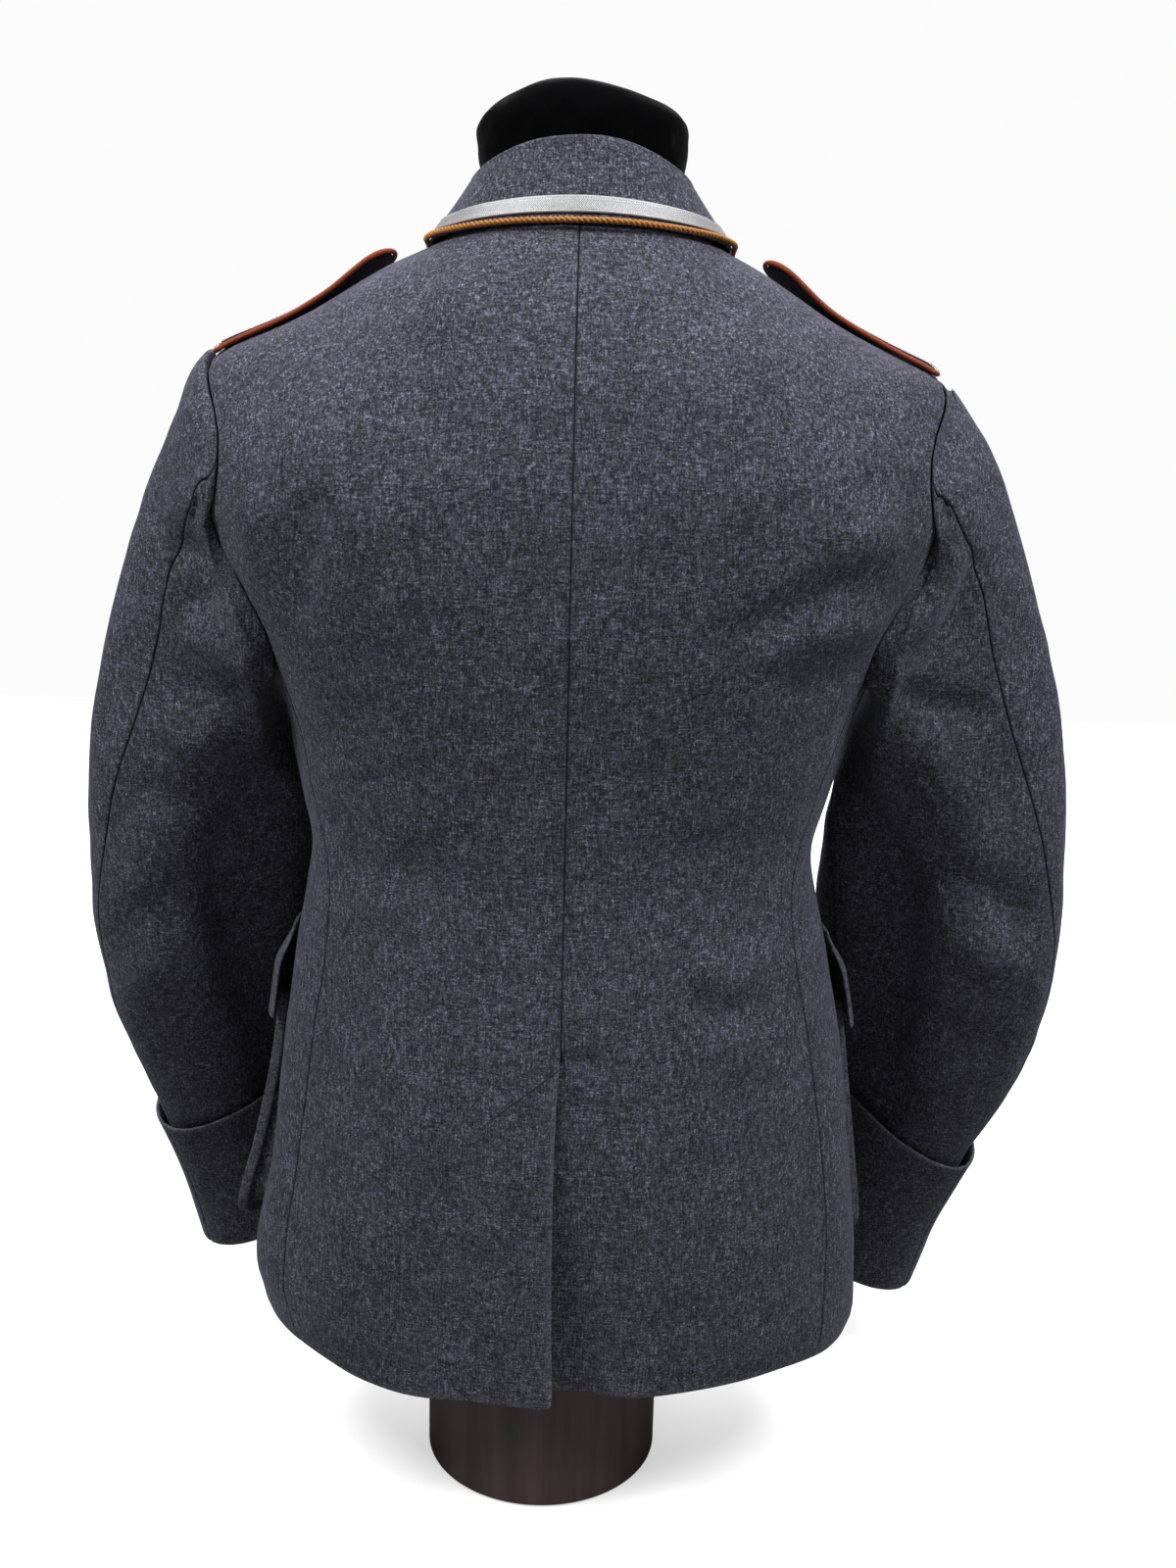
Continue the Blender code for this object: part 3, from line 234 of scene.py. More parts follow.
def trunkNormal(angle, level, side, inset=0.0):
    a, b = 0.4, 0.004
    level = np.clip(level, b, 2 - b)
    across = trunkBase(angle + a, level, side, inset) - trunkBase(angle - a, level, side, inset)
    up = trunkBase(angle, level + b, side, inset) - trunkBase(angle, level - b, side, inset)
    return unit(np.cross(up, across))


def onTrunk(angle, level, side):
    return trunkBase(angle, level, side, 0.0) * [side, 1, 1]


def outOf(angle, level, side):
    return trunkNormal(angle, level, side) * [side, 1, 1]


def angleFor(width, level):
    height = heightAt(level)
    half = smooth(height, trunkRows["height"], trunkRows["half"])
    back = smooth(height, trunkRows["height"], trunkRows["back"])
    at = np.clip(level - 1, 0, 1)
    across = half + (neckline["half"] - half) * at
    return np.degrees(width / np.maximum(across, back + (neckline["back"] - back) * at))


def outerEdge(level, hole):
    seam = smooth(level, sideSeam["level"], sideSeam["angle"])
    arm = smooth(level, hole["level"], hole["angle"])
    return np.where(level <= garment["seamTop"], seam, np.where(level <= garment["shoulderTop"], arm, 90.0))


# creases of the body, left and right: (angle, level) points, depth, width

bodyCreases = {
    1: [
        ([(35, 1.12), (37, 1.045), (40.5, 0.96), (46.5, 0.885)], -0.0034, 0.011),
        ([(46, 1.1), (50, 1.0), (56, 0.92)], 0.0018, 0.01),
        ([(34.5, 1.73), (24, 1.665), (14.5, 1.7)], 0.003, 0.02),
        ([(33, 1.62), (25, 1.45), (21, 1.25), (20, 1.15)], -0.0022, 0.018),
        ([(50, 1.42), (42, 1.34), (36, 1.36)], 0.0022, 0.022),
        ([(58, 0.66), (40, 0.62), (22, 0.645)], -0.0016, 0.014),
        ([(56, 0.575), (42, 0.565), (28, 0.59)], 0.0012, 0.012),
        ([(61, 0.4), (59, 0.24), (60, 0.08)], -0.0016, 0.013),
        ([(48, 0.34), (45, 0.18), (46, 0.02)], 0.0016, 0.02),
        ([(26, 0.3), (24, 0.15), (25, 0.0)], -0.0014, 0.02),
    ],
    -1: [
        ([(54, 0.955), (48.5, 0.945), (39, 0.935), (32, 0.91), (23, 0.88)], -0.0027, 0.01),
        ([(60, 0.905), (52, 0.897), (44.5, 0.893), (37, 0.883), (28, 0.862)], 0.0026, 0.009),
        ([(62, 0.86), (54, 0.845), (44, 0.835), (36, 0.828)], -0.0019, 0.009),
        ([(52, 1.02), (46.5, 1.0), (40, 0.985), (34.5, 0.96), (27, 0.945)], 0.0026, 0.013),
        ([(11.5, 1.5), (20.5, 1.435), (33.5, 1.53), (40, 1.5)], 0.003, 0.022),
        ([(57, 1.22), (48, 1.16), (40, 1.14)], -0.0014, 0.016),
        ([(23.5, 0.497), (30, 0.477), (37.5, 0.465), (46.5, 0.482), (52, 0.51)], -0.0021, 0.0085),
        ([(27, 0.528), (33, 0.515), (38, 0.5), (44, 0.51), (50, 0.54)], 0.0019, 0.0085),
        ([(30, 0.44), (38, 0.428), (48, 0.44)], 0.0013, 0.01),
        ([(55, 0.665), (34, 0.65), (17, 0.66)], -0.0015, 0.014),
        ([(59, 0.4), (57, 0.22), (58, 0.05)], -0.0014, 0.014),
        ([(44, 0.3), (42, 0.16), (43, 0.01)], 0.0013, 0.02),
    ],
}
for side in (1, -1):  # the front and the flanks, which are creased like the back
    bodyCreases[side] += [
        ([(122, 1.08), (134, 1.02), (147, 0.99)], -0.0024, 0.012),
        ([(118, 0.97), (130, 0.93), (142, 0.92)], 0.0022, 0.011),
        ([(108, 0.82), (118, 0.8), (130, 0.82)], -0.002, 0.01),
        ([(74, 0.76), (88, 0.73), (102, 0.74)], 0.0018, 0.01),
        ([(70, 0.66), (90, 0.62), (112, 0.64)], -0.002, 0.013),
        ([(120, 0.62), (140, 0.6), (158, 0.625)], 0.0014, 0.013),
        ([(150, 1.42), (140, 1.3), (136, 1.15)], 0.0024, 0.02),
        ([(112, 1.28), (124, 1.2), (133, 1.18)], -0.0016, 0.014),
        ([(166, 0.5), (158, 0.3), (160, 0.04)], -0.0014, 0.02),
        ([(76, 0.42), (74, 0.24), (76, 0.04)], 0.0014, 0.016),
    ]
bodyPaths = [path for side in (1, -1)
             for path in creasePaths(bodyCreases[side], lambda angle, level: onTrunk(angle, level, side),
                                     garment["creaseDepth"], garment["creaseWidth"])]


def bodyRelief(points, level):  # dies away at the neckline
    return relief(points, bodyPaths, garment["lumps"]) * ease(2.0 - level, 0.0, 0.06)


# closed cloth from grids

# seamShadeWidth is how far from a seam the painted shade along it reaches
roll = {"seamDepth": 0.0007, "seamWidth": 0.0014, "edgeDepth": 0.0009, "edgeWidth": 0.0013,
        "fuzzWidth": 0.003, "seamShadeWidth": 0.0006}
nearEdge = [0.0, 0.0005, 0.0011, 0.0018, 0.0027, 0.0042]  # columns this far from a cloth's edges


def rollIn(distance, depth, width):
    t = np.clip(1 - distance / width, 0, 1)
    return depth * (1 - np.sqrt(1 - t * t * 0.999))


def clothShares(width, count):  # columns near both edges, and even ones between
    low = np.array(nearEdge)[None, :] / np.asarray(width)[:, None]
    high = 1 - low[:, ::-1]
    t = np.linspace(0, 1, count + 2)[1:-1]
    middle = low[:, -1:] + (high[:, :1] - low[:, -1:]) * t[None, :]
    return np.concatenate([low, middle, high], 1)


def addMesh(name, verts, faces, material, attributes=None, uv=None):
    mesh = bpy.data.meshes.new(name)
    mesh.from_pydata(np.asarray(verts, float).tolist(), [], [tuple(int(v) for v in f) for f in faces])
    mesh.materials.append(material)
    mesh.update()
    mesh.polygons.foreach_set("use_smooth", [True] * len(mesh.polygons))
    for key, values in (attributes or {}).items():
        layer = mesh.attributes.new(key, "FLOAT", "POINT")
        layer.data.foreach_set("value", np.asarray(values, np.float32).ravel())
    if uv is not None:
        layer = mesh.uv_layers.new(name="UVMap")
        loops = np.zeros(len(mesh.loops), np.int32)
        mesh.loops.foreach_get("vertex_index", loops)
        layer.data.foreach_set("uv", np.asarray(uv, np.float32)[loops].ravel())
    made = bpy.data.objects.new(name, mesh)
    bpy.context.scene.collection.objects.link(made)
    return made


def gridFaces(rows, cols, keep=None, closed=False):  # outer faces, inner faces and the rim between them
    keep = np.ones((rows - 1, cols if closed else cols - 1), bool) if keep is None else keep
    i, j = np.nonzero(keep)
    k = (j + 1) % cols
    a, b, c, d = i * cols + j, i * cols + k, (i + 1) * cols + k, (i + 1) * cols + j
    shift = rows * cols
    outer = np.stack([a, b, c, d], 1)
    inner = np.stack([d, c, b, a], 1) + shift
    rim = []
    padded = np.zeros((keep.shape[0] + 2, keep.shape[1] + 2), bool)
    padded[1:-1, 1:-1] = keep
    if closed:
        padded[1:-1, 0], padded[1:-1, -1] = keep[:, -1], keep[:, 0]
    for di, dj, p, q in ((-1, 0, a, b), (0, 1, b, c), (1, 0, c, d), (0, -1, d, a)):
        bare = ~padded[i + 1 + di, j + 1 + dj]
        m, n = p[bare], q[bare]
        rim.append(np.stack([n, m, m + shift, n + shift], 1))
    return np.concatenate([outer, inner] + rim)


def woolPiece(name, node, outer, normal, edges, keep=None, closed=False, flip=False):
    # edges: (path, kind), a seam turns the outer side in, a free edge is rounded on both sides
    fall, lift, wear, seamShade = (np.zeros(outer.shape[:2]) for layer in range(4))
    for path, kind in edges:
        far = nearPath(outer, path)[0]
        if kind == "seam":
            fall = np.maximum(fall, rollIn(far, roll["seamDepth"], roll["seamWidth"]))
            # painted shade: the outer side is darkened along each seam, as if the seam's groove lay in shade
            seamShade = np.maximum(seamShade, np.exp(-(far / roll["seamShadeWidth"]) ** 2))
        else:
            turned = rollIn(far, roll["edgeDepth"], roll["edgeWidth"])
            fall, lift = np.maximum(fall, turned), np.maximum(lift, turned)
            wear = np.maximum(wear, np.exp(-(far / roll["fuzzWidth"]) ** 2))
    front = place(outer - normal * fall[..., None])
    rear = place(outer - normal * (garment["wall"] - lift)[..., None])
    rows, cols = outer.shape[:2]
    faces = gridFaces(rows, cols, keep, closed)
    faces = faces[:, ::-1] if flip else faces
    points = np.concatenate([front.reshape(-1, 3), rear.reshape(-1, 3)])
    used, renumbered = np.unique(faces, return_inverse=True)
    marks = {"wear": np.concatenate([wear.ravel(), wear.ravel()])[used],
             "seamShade": np.concatenate([seamShade.ravel(), seamShade.ravel() * 0])[used]}
    return finishPiece(addMesh(name, points[used], renumbered.reshape(-1, 4), woolCloth, marks), "wool", node)


def aroundFaces(rows, cols):
    i, j = np.meshgrid(np.arange(rows - 1), np.arange(cols), indexing="ij")
    a, b = i * cols + j, i * cols + (j + 1) % cols
    return np.stack([a, b, b + cols, a + cols], -1).reshape(-1, 4)


def ridgeTube(paths, radius, sides, taper):  # verts and faces of closed round cords along paths
    verts, faces, base = [], [], 0
    for path in paths:
        path = np.asarray(path, float)
        along = unit(np.gradient(path, axis=0))
        helper = np.where(np.abs(along[:, 2:3]) > 0.9, [[1.0, 0.0, 0.0]], [[0.03, 0.05, 1.0]])
        first = unit(np.cross(along, helper))
        second = np.cross(along, first)
        turns = np.linspace(0, 2 * np.pi, sides, endpoint=False)
        size = radius * np.ones(len(path))
        size[0] = size[-1] = radius * taper
        ring = (np.cos(turns)[None, :, None] * first[:, None] + np.sin(turns)[None, :, None] * second[:, None])
        verts.append((path[:, None] + ring * size[:, None, None]).reshape(-1, 3))
        faces += (aroundFaces(len(path), sides) + base).tolist()
        faces.append([base + k for k in range(sides)][::-1])
        base += len(path) * sides
        faces.append([base - sides + k for k in range(sides)])
    return np.concatenate(verts), faces


def choose(piece):  # the one selected and active piece
    bpy.ops.object.select_all(action="DESELECT")
    piece.select_set(True)
    bpy.context.view_layer.objects.active = piece


def finishPiece(piece, slot, *nodes):
    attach(piece, "root")
    if nodes:
        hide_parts(*nodes)
    return piece


# materials

class Signal:  # a socket whose sums and products add Math nodes
    def __init__(self, finish, socket):
        self.finish, self.socket = finish, socket

    def maths(self, operation, *values):
        return self.finish.node("ShaderNodeMath", {"operation": operation}, values)

    def of(self, operation):
        return self.maths(operation, self)


for sign, operation in (("add", "ADD"), ("sub", "SUBTRACT"), ("mul", "MULTIPLY"), ("truediv", "DIVIDE")):
    setattr(Signal, "__%s__" % sign, lambda self, other, kind=operation: self.maths(kind, self, other))
    setattr(Signal, "__r%s__" % sign, lambda self, other, kind=operation: self.maths(kind, other, self))


class Finish:
    def __init__(self, name, fixed):
        self.material = bpy.data.materials.new(name)
        self.material.use_nodes = True
        self.tree = self.material.node_tree
        self.shader = self.tree.nodes["Principled BSDF"]
        for socket, value in fixed.items():
            self.shader.inputs[socket].default_value = value
        self.place = self.node("ShaderNodeTexCoord", None, None, "Object")

    def node(self, kind, settings=None, values=None, out=0):
        made = self.tree.nodes.new(kind)
        for key, value in (settings or {}).items():
            setattr(made, key, value)
        pairs = values.items() if isinstance(values, dict) else enumerate(values or ())
        for key, value in pairs:
            if isinstance(value, Signal):
                self.tree.links.new(value.socket, made.inputs[key])
            else:
                made.inputs[key].default_value = value
        return Signal(self, made.outputs[out])

    def noise(self, size, detail=1.0, rough=0.5, vector=None):
        return self.node("ShaderNodeTexNoise", None, {"Vector": vector or self.place, "Scale": 1 / size,
                                                      "Detail": detail, "Roughness": rough})

    def stretched(self, turn, scale):  # object coordinates turned and stretched, for fibres
        return self.node("ShaderNodeMapping", None, {"Vector": self.place, "Rotation": turn, "Scale": scale})

    def span(self, value, low, high, to=(0.0, 1.0)):
        return self.node("ShaderNodeMapRange", {"interpolation_type": "SMOOTHSTEP"},
                         {"Value": value, "From Min": low, "From Max": high, "To Min": to[0], "To Max": to[1]})

    def blend(self, factor, first, second):
        first, second = ((*v, 1.0) if isinstance(v, tuple) else v for v in (first, second))
        return self.node("ShaderNodeMix", {"data_type": "RGBA"}, {0: factor, 6: first, 7: second}, 2)

    def mark(self, name):
        return self.node("ShaderNodeAttribute", {"attribute_name": name}, None, "Fac")

    def uv(self):  # the piece's own map, in metres along and across
        both = self.node("ShaderNodeUVMap", {"uv_map": "UVMap"})
        return (self.node("ShaderNodeSeparateXYZ", None, [both]),
                self.node("ShaderNodeSeparateXYZ", None, [both], 1))

    def wear(self, **links):
        for socket, value in links.items():
            self.tree.links.new(value.socket, self.shader.inputs[socket.replace("_", " ")])

    def bump(self, height, strength, distance):
        self.wear(Normal=self.node("ShaderNodeBump", None, {"Strength": strength, "Distance": distance,
                                                            "Height": height}))


class Surround(Finish):  # the world's own nodes
    def __init__(self, world):
        self.tree = world.node_tree
        self.shader = self.tree.nodes["Background"]

    def light(self, strength):
        self.shader.inputs["Color"].default_value = (1, 1, 1, 1)
        self.wear(Strength=strength)


woolLook = {
    "deep": (0.015, 0.0148, 0.0205), "ground": (0.0425, 0.0425, 0.055), "light": (0.096, 0.093, 0.134),
    "fibre": (0.205, 0.2, 0.258), "olive": (0.06, 0.057, 0.046), "edge": (0.15, 0.149, 0.172),
    "fleck": 0.00095, "clump": 0.0034, "cloud": 0.024,
}


def makeWool(name, look):
    f = Finish(name, {"Roughness": 0.96, "Sheen Weight": 0.095, "Sheen Roughness": 0.4,
                      "Sheen Tint": (0.72, 0.76, 1.0, 1.0), "Specular IOR Level": 0.12})
    fleck = f.noise(look["fleck"], 2.0, 0.62)
    clump = f.noise(look["clump"], 2.0, 0.55)
    cloud = f.noise(look["cloud"], 3.0, 0.6)
    hairs = f.noise(0.0011, 1.0, 0.5, f.stretched((0.3, 0.5, 0.2), (1.0, 0.55, 0.16)))
    hairsAcross = f.noise(0.0011, 1.0, 0.5, f.stretched((0.1, 1.1, 0.9), (0.18, 0.8, 1.0)))
    tone = (fleck - 0.5) * 1.5 + (clump - 0.5) * 0.42 + (cloud - 0.5) * 0.2 + 0.5
    tone = tone + (hairs - 0.5) * 0.68 + (hairsAcross - 0.5) * 0.68
    colour = look["deep"]
    for shade, low, high in (("ground", 0.26, 0.52), ("light", 0.5, 0.76), ("fibre", 0.73, 0.95)):
        colour = f.blend(f.span(tone, low, high), colour, look[shade])
    oliveSpot = f.span(f.noise(0.0021, 1.0, 0.5, f.stretched((0.0, 0.0, 0.4), (1.0, 1.0, 0.6))), 0.62, 0.7)
    colour = f.blend(oliveSpot * 0.55, colour, look["olive"])
    wear = f.mark("wear") * f.span(f.noise(0.0013, 2.0, 0.6), 0.4, 0.62)
    colour = f.blend(wear * 0.55, colour, look["edge"])
    # painted shade along the seams, darkened towards the deepest tone by the seamShade mark
    colour = f.blend(f.mark("seamShade") * 0.7, colour, look["deep"])
    f.wear(Base_Color=colour)
    nap = (fleck - 0.5) * 0.9 + (hairs - 0.5) * 0.6 + (hairsAcross - 0.5) * 0.6 + (clump - 0.5) * 0.8
    f.bump(nap, 0.5, 0.0005)
    return f.material


def makeThread(name, colour, sheen=0.1):
    f = Finish(name, {"Roughness": 0.75, "Sheen Weight": sheen})
    twist = f.noise(0.0005, 1.0, 0.5)
    f.wear(Base_Color=f.blend(f.span(twist, 0.35, 0.65), tuple(v * 0.55 for v in colour), colour))
    f.bump(twist, 0.5, 0.0002)
    return f.material


braidLook = {"pick": 0.00052, "silver": (0.25, 0.25, 0.26), "shadow": (0.048, 0.048, 0.053),
             "bright": (0.4, 0.4, 0.4)}


def makeSilver(name, width, weave):  # weave: edge rows, their dots' pitch and the chevrons' pitch
    look, (rows, dot, chevron) = braidLook, weave
    f = Finish(name, {"Roughness": 0.46, "Metallic": 0.35, "Specular IOR Level": 0.55})
    u, v = f.uv()
    across = (v - width / 2).of("ABSOLUTE")
    slant = (u / chevron + across / (chevron * 1.05)).of("FRACT")
    ridge = f.span((slant - 0.5).of("ABSOLUTE"), 0.08, 0.42)
    middle = f.span(across, width / 2 - rows * 1.55, width / 2 - rows * 1.35, (1.0, 0.0))
    cross = (u * (6.2832 / look["pick"])).of("SINE") * 0.5 + 0.5
    line = f.span((across - (width / 2 - rows)).of("ABSOLUTE"), 0.00012, 0.00038, (1.0, 0.0))
    spots = line * f.span((u * (6.2832 / dot)).of("SINE"), -0.2, 0.35)
    colour = f.blend(f.span(f.noise(0.0007, 2.0), 0.3, 0.7), look["silver"], look["bright"])
    colour = f.blend(middle * ridge * 0.62, colour, look["shadow"])
    colour = f.blend((1 - middle) * cross * 0.22, colour, look["shadow"])
    colour = f.blend(spots * 0.85, colour, look["shadow"])
    f.wear(Base_Color=colour)
    f.bump(cross * 0.35 - ridge * middle - spots, 0.5, 0.00022)
    return f.material


def makeCordCloth(name, colour, dark):
    f = Finish(name, {"Roughness": 0.72, "Specular IOR Level": 0.22})
    strands = f.noise(0.00042, 2.0, 0.6, f.stretched((0.2, 0.3, 0.5), (1.0, 0.45, 1.0)))
    shade = f.blend(f.span(strands, 0.32, 0.66), dark, colour)
    # painted shade from the seamShade mark, darkened towards a deeper tone; the mark is zero on every cord and
    # piping piece
    shade = f.blend(f.mark("seamShade"), shade, tuple(v * 0.35 for v in dark))
    f.wear(Base_Color=shade)
    f.bump(strands, 0.6, 0.00025)
    return f.material


def makeVelvet(name):
    f = Finish(name, {"Roughness": 0.95, "Sheen Weight": 0.05, "Sheen Roughness": 0.35,
                      "Specular IOR Level": 0.02})
    pile = f.noise(0.0016, 3.0, 0.6)
    crush = f.span(f.noise(0.011, 3.0, 0.6, f.stretched((0, 0, 0), (1.0, 1.0, 0.4))), 0.6, 0.86)
    f.wear(Base_Color=f.blend(crush * pile, (0.0012, 0.0012, 0.0015), (0.012, 0.012, 0.014)))
    f.bump(pile + crush, 0.5, 0.0006)
    return f.material


def makeShell(name):
    f = Finish(name, {"IOR": 1.45, "Specular IOR Level": 0.35, "Coat Weight": 0.05, "Coat Roughness": 0.4})
    streak = f.noise(0.01, 3.0, 0.55, f.stretched((0, 0, 0), (1.0, 1.0, 0.05)))
    grain = f.noise(0.0011, 2.0, 0.6)
    colour = f.blend(f.span(streak, 0.3, 0.7), (0.058, 0.034, 0.035), (0.092, 0.058, 0.058))
    colour = f.blend(f.span(grain, 0.66, 0.8) * 0.35, colour, (0.12, 0.09, 0.09))
    f.wear(Base_Color=colour, Roughness=f.span(streak, 0.2, 0.8, (0.4, 0.54)))
    f.bump(grain * 0.4 + streak, 0.12, 0.0004)
    return f.material


def makeMetal(name):
    f = Finish(name, {"Metallic": 1.0})
    pits = f.noise(0.0011, 3.0, 0.6)
    stain = f.noise(0.006, 3.0, 0.6)
    colour = f.blend(f.span(stain, 0.35, 0.7), (0.3, 0.3, 0.31), (0.46, 0.46, 0.47))
    colour = f.blend(f.span(pits, 0.62, 0.75) * 0.5, colour, (0.16, 0.16, 0.17))
    f.wear(Base_Color=colour, Roughness=f.span(pits, 0.3, 0.75, (0.34, 0.56)))
    f.bump(pits, 0.22, 0.0003)
    return f.material


woolCloth = makeWool("heatheredMelton", woolLook)
strapCloth = makeWool("charcoalStrapCloth", dict(
    woolLook, deep=(0.004, 0.004, 0.005), ground=(0.0125, 0.013, 0.0155), light=(0.035, 0.036, 0.04),
    fibre=(0.1, 0.1, 0.105), olive=(0.02, 0.02, 0.018), edge=(0.075, 0.077, 0.082)))
seamThread = makeThread("seamThread", (0.02, 0.022, 0.036))
stayThread = makeThread("stayThread", (0.006, 0.006, 0.009), 0.0)
whiteThread = makeThread("whiteThread", (0.7, 0.7, 0.68))
cordSilk = makeCordCloth("tanCordSilk", (0.47, 0.205, 0.05), (0.2, 0.075, 0.016))
pipingCloth = makeCordCloth("rustPipingCloth", (0.24, 0.043, 0.009), (0.125, 0.021, 0.005))
neckVelvet = makeVelvet("neckVelvet")
shellFinish = makeShell("brownFormShell")
buttonMetal = makeMetal("dullButtonMetal")
print("materials made")


# back panels

back = {
    "columns": 66, "lower": 104, "upper": 54,
    "ventHeight": 0.312, "ventLap": 0.034, "ventOpen": 0.0042, "ventSunk": 0.0084, "ventDrift": 0.0026,
    "ventCurve": 1.3, "ventBlend": (2.0, 16.0), "ventTopRise": 0.012,
    "ventStay": {"from": (0.7, 0.0085), "by": (12.1, 0.06), "radius": 0.0004},
    "stitchIn": 0.0028, "flat": (0.27, 0.76), "area": 0.15,
}
ventLevel = (back["ventHeight"] - garment["hem"]) / bodyTall


def ventSpread(level):
    return np.clip((back["ventHeight"] - heightAt(level)) / (back["ventHeight"] - garment["hem"]), 0, 1)


def ventOffset(angle, level, side):
    spread = ventSpread(level) ** back["ventCurve"]
    near = 1 - ease(angle, *back["ventBlend"])
    if side > 0:
        return back["ventOpen"] * spread * near
    sunk = garment["wall"] + garment["gap"] * 2 + back["ventSunk"] * spread
    below = ease((ventLevel - level) * bodyTall, -back["ventTopRise"], 0.0)
    return -sunk * near * below


def rowLevels(extra):
    hemRows = np.array(nearEdge) / bodyTall
    rows = np.sort(np.concatenate([hemRows, np.linspace(0.012, 1, back["lower"]),
                                   np.linspace(1, 2, back["upper"]), extra]))
    keep = np.concatenate([[True], np.diff(rows) > 0.0004])
    rows = rows[keep]
    rows[-1] = 2.0
    return rows


def panelAngles(start, end, levels, side, steps, columns):
    ends = [onTrunk(start + (end - start) * t, levels, side) for t in np.linspace(0, 1, steps)]
    width = sum(np.linalg.norm(b - a, axis=1) for a, b in zip(ends[:-1], ends[1:]))
    return start[:, None] + (end - start)[:, None] * clothShares(width, columns)


def backSurface(angle, level, side):  # the finished outer side of a back, and its normal
    points, normal = onTrunk(angle, level, side), outOf(angle, level, side)
    lift = ventOffset(angle, level, side) + bodyRelief(points, level)
    return points + normal * lift[..., None], normal


def backStart(levels, side):  # the centre seam, and below the vent's top the left back's drifting edge
    start = angleFor(garment["gap"] / 2, levels)
    if side > 0:
        drift = back["ventDrift"] * np.sin(np.pi * ventSpread(levels) ** 0.8) ** 0.8
        start = start + angleFor(drift, levels)
    return start


def makeBack(side, name, node):
    levels = rowLevels([ventLevel - 0.0008, ventLevel, ventLevel + 0.0008, garment["seamTop"]])
    start = backStart(levels, side)
    edge = outerEdge(levels, backHole) - angleFor(garment["gap"] / 2, levels) * 1.5
    angle = panelAngles(start, edge, levels, side, 30, back["columns"])
    keep = np.ones((len(levels) - 1, angle.shape[1] - 1), bool)
    slit = levels < ventLevel - 1e-6
    if side < 0:
        lap = np.array([1.0, 0.985, 0.965, 0.94, 0.85, 0.7, 0.55, 0.4, 0.25, 0.1])
        under = start[:, None] - angleFor(back["ventLap"], levels)[:, None] * lap
        angle = np.concatenate([under, angle], 1)
        keep = np.concatenate([np.repeat(slit[:-1, None], len(lap), 1), keep], 1)
    level = np.repeat(levels[:, None], angle.shape[1], 1)
    level[-1] -= garment["neckTuck"]
    outer, normal = backSurface(angle, level, side)
    first = len(lap) if side < 0 else 0
    edges = [(outer[~slit, first], "seam"), (outer[:, -1], "seam")]
    edges += [(outer[0, :], "free"), (outer[slit, 0], "free")]
    if side > 0:  # the vent's lower corner is rounded
        corner = outer[0, 0]
        near = np.clip(1 - np.linalg.norm(outer - corner, axis=-1) / 0.012, 0, 1)
        outer = outer + near[..., None] ** 2 * np.array([0.0012, 0, 0.0022])
    piece = woolPiece(name, node, outer, normal, edges, keep, flip=side > 0)


stitch = {"length": 0.002, "radius": 0.00026, "pitch": 0.0029, "sides": 6,
          "profile": ((-0.5, 0.35), (-0.32, 0.9), (0.32, 0.9), (0.5, 0.35))}


def stitchMesh(rows, length, radius):  # rows: (path on the cloth, normal at each point, pitch)
    n, rings = stitch["sides"], len(stitch["profile"])
    template = np.array([(along * length, math.cos(t) * radius * size, math.sin(t) * radius * size)
                         for along, size in stitch["profile"] for t in np.arange(n) * math.pi / 3])
    shape = [tuple(f) for f in aroundFaces(rings, n).tolist()]
    shape += [tuple(range(n))[::-1], tuple(range((rings - 1) * n, rings * n))]
    verts, faces, base = [], [], 0
    for path, normal, pitch in rows:
        run = lengths(path)
        at = np.arange(pitch / 2, run[-1], pitch)
        centre, out = pointsAt(at, run, path), unit(pointsAt(at, run, normal))
        along = unit(pointsAt(at + pitch / 4, run, path) - centre)
        side = unit(np.cross(out, along))
        x, y, z = (template[None, :, k:k + 1] * way[:, None] for k, way in enumerate((along, side, out)))
        verts.append((centre[:, None] + x + y + z).reshape(-1, 3))
        faces += [tuple(v + base + k * n * rings for v in face) for k in range(len(at)) for face in shape]
        base += len(at) * n * rings
    return np.concatenate(verts), faces


def addStitches(name, rows, length=stitch["length"], radius=stitch["radius"]):
    verts, faces = stitchMesh(rows, length, radius)
    finishPiece(addMesh(name, place(verts), faces, seamThread), "wool")


def hemRow(surface, first, last, side, count):  # stitches along the hem of a back or a front
    drop = back["stitchIn"] / bodyTall
    return (*surface(np.linspace(first, last, count), np.full(count, drop), side), stitch["pitch"])


for side, name, node in ((1, "backLeft", "back_left"), (-1, "backRight", "back_right")):
    makeBack(side, name, node)


def backStitches():
    drop = back["stitchIn"] / bodyTall
    up = np.linspace(drop, ventLevel, 120)
    inside = backStart(up, 1) + angleFor(back["stitchIn"], up)
    last = outerEdge(np.array(drop), backHole) - 0.4
    return [(*backSurface(inside, up, 1), stitch["pitch"]), hemRow(backSurface, inside[0], last, 1, 160),
            hemRow(backSurface, 0.4, last, -1, 160)]


def ventStayLine():  # the slanting line that holds the vent's stay
    (angle, drop), (turn, fall) = back["ventStay"]["from"], back["ventStay"]["by"]
    t = np.linspace(0, 1, 60)
    points, normal = backSurface(angle + turn * t, ventLevel - drop - fall * t, 1)
    return points - normal * 0.0001


addStitches("backStitches", backStitches())
verts, faces = ridgeTube([place(ventStayLine())], back["ventStay"]["radius"], 6, 0.5)
finishPiece(addMesh("ventStayLine", verts, faces, stayThread), "wool")
print("backs made")


# front panels

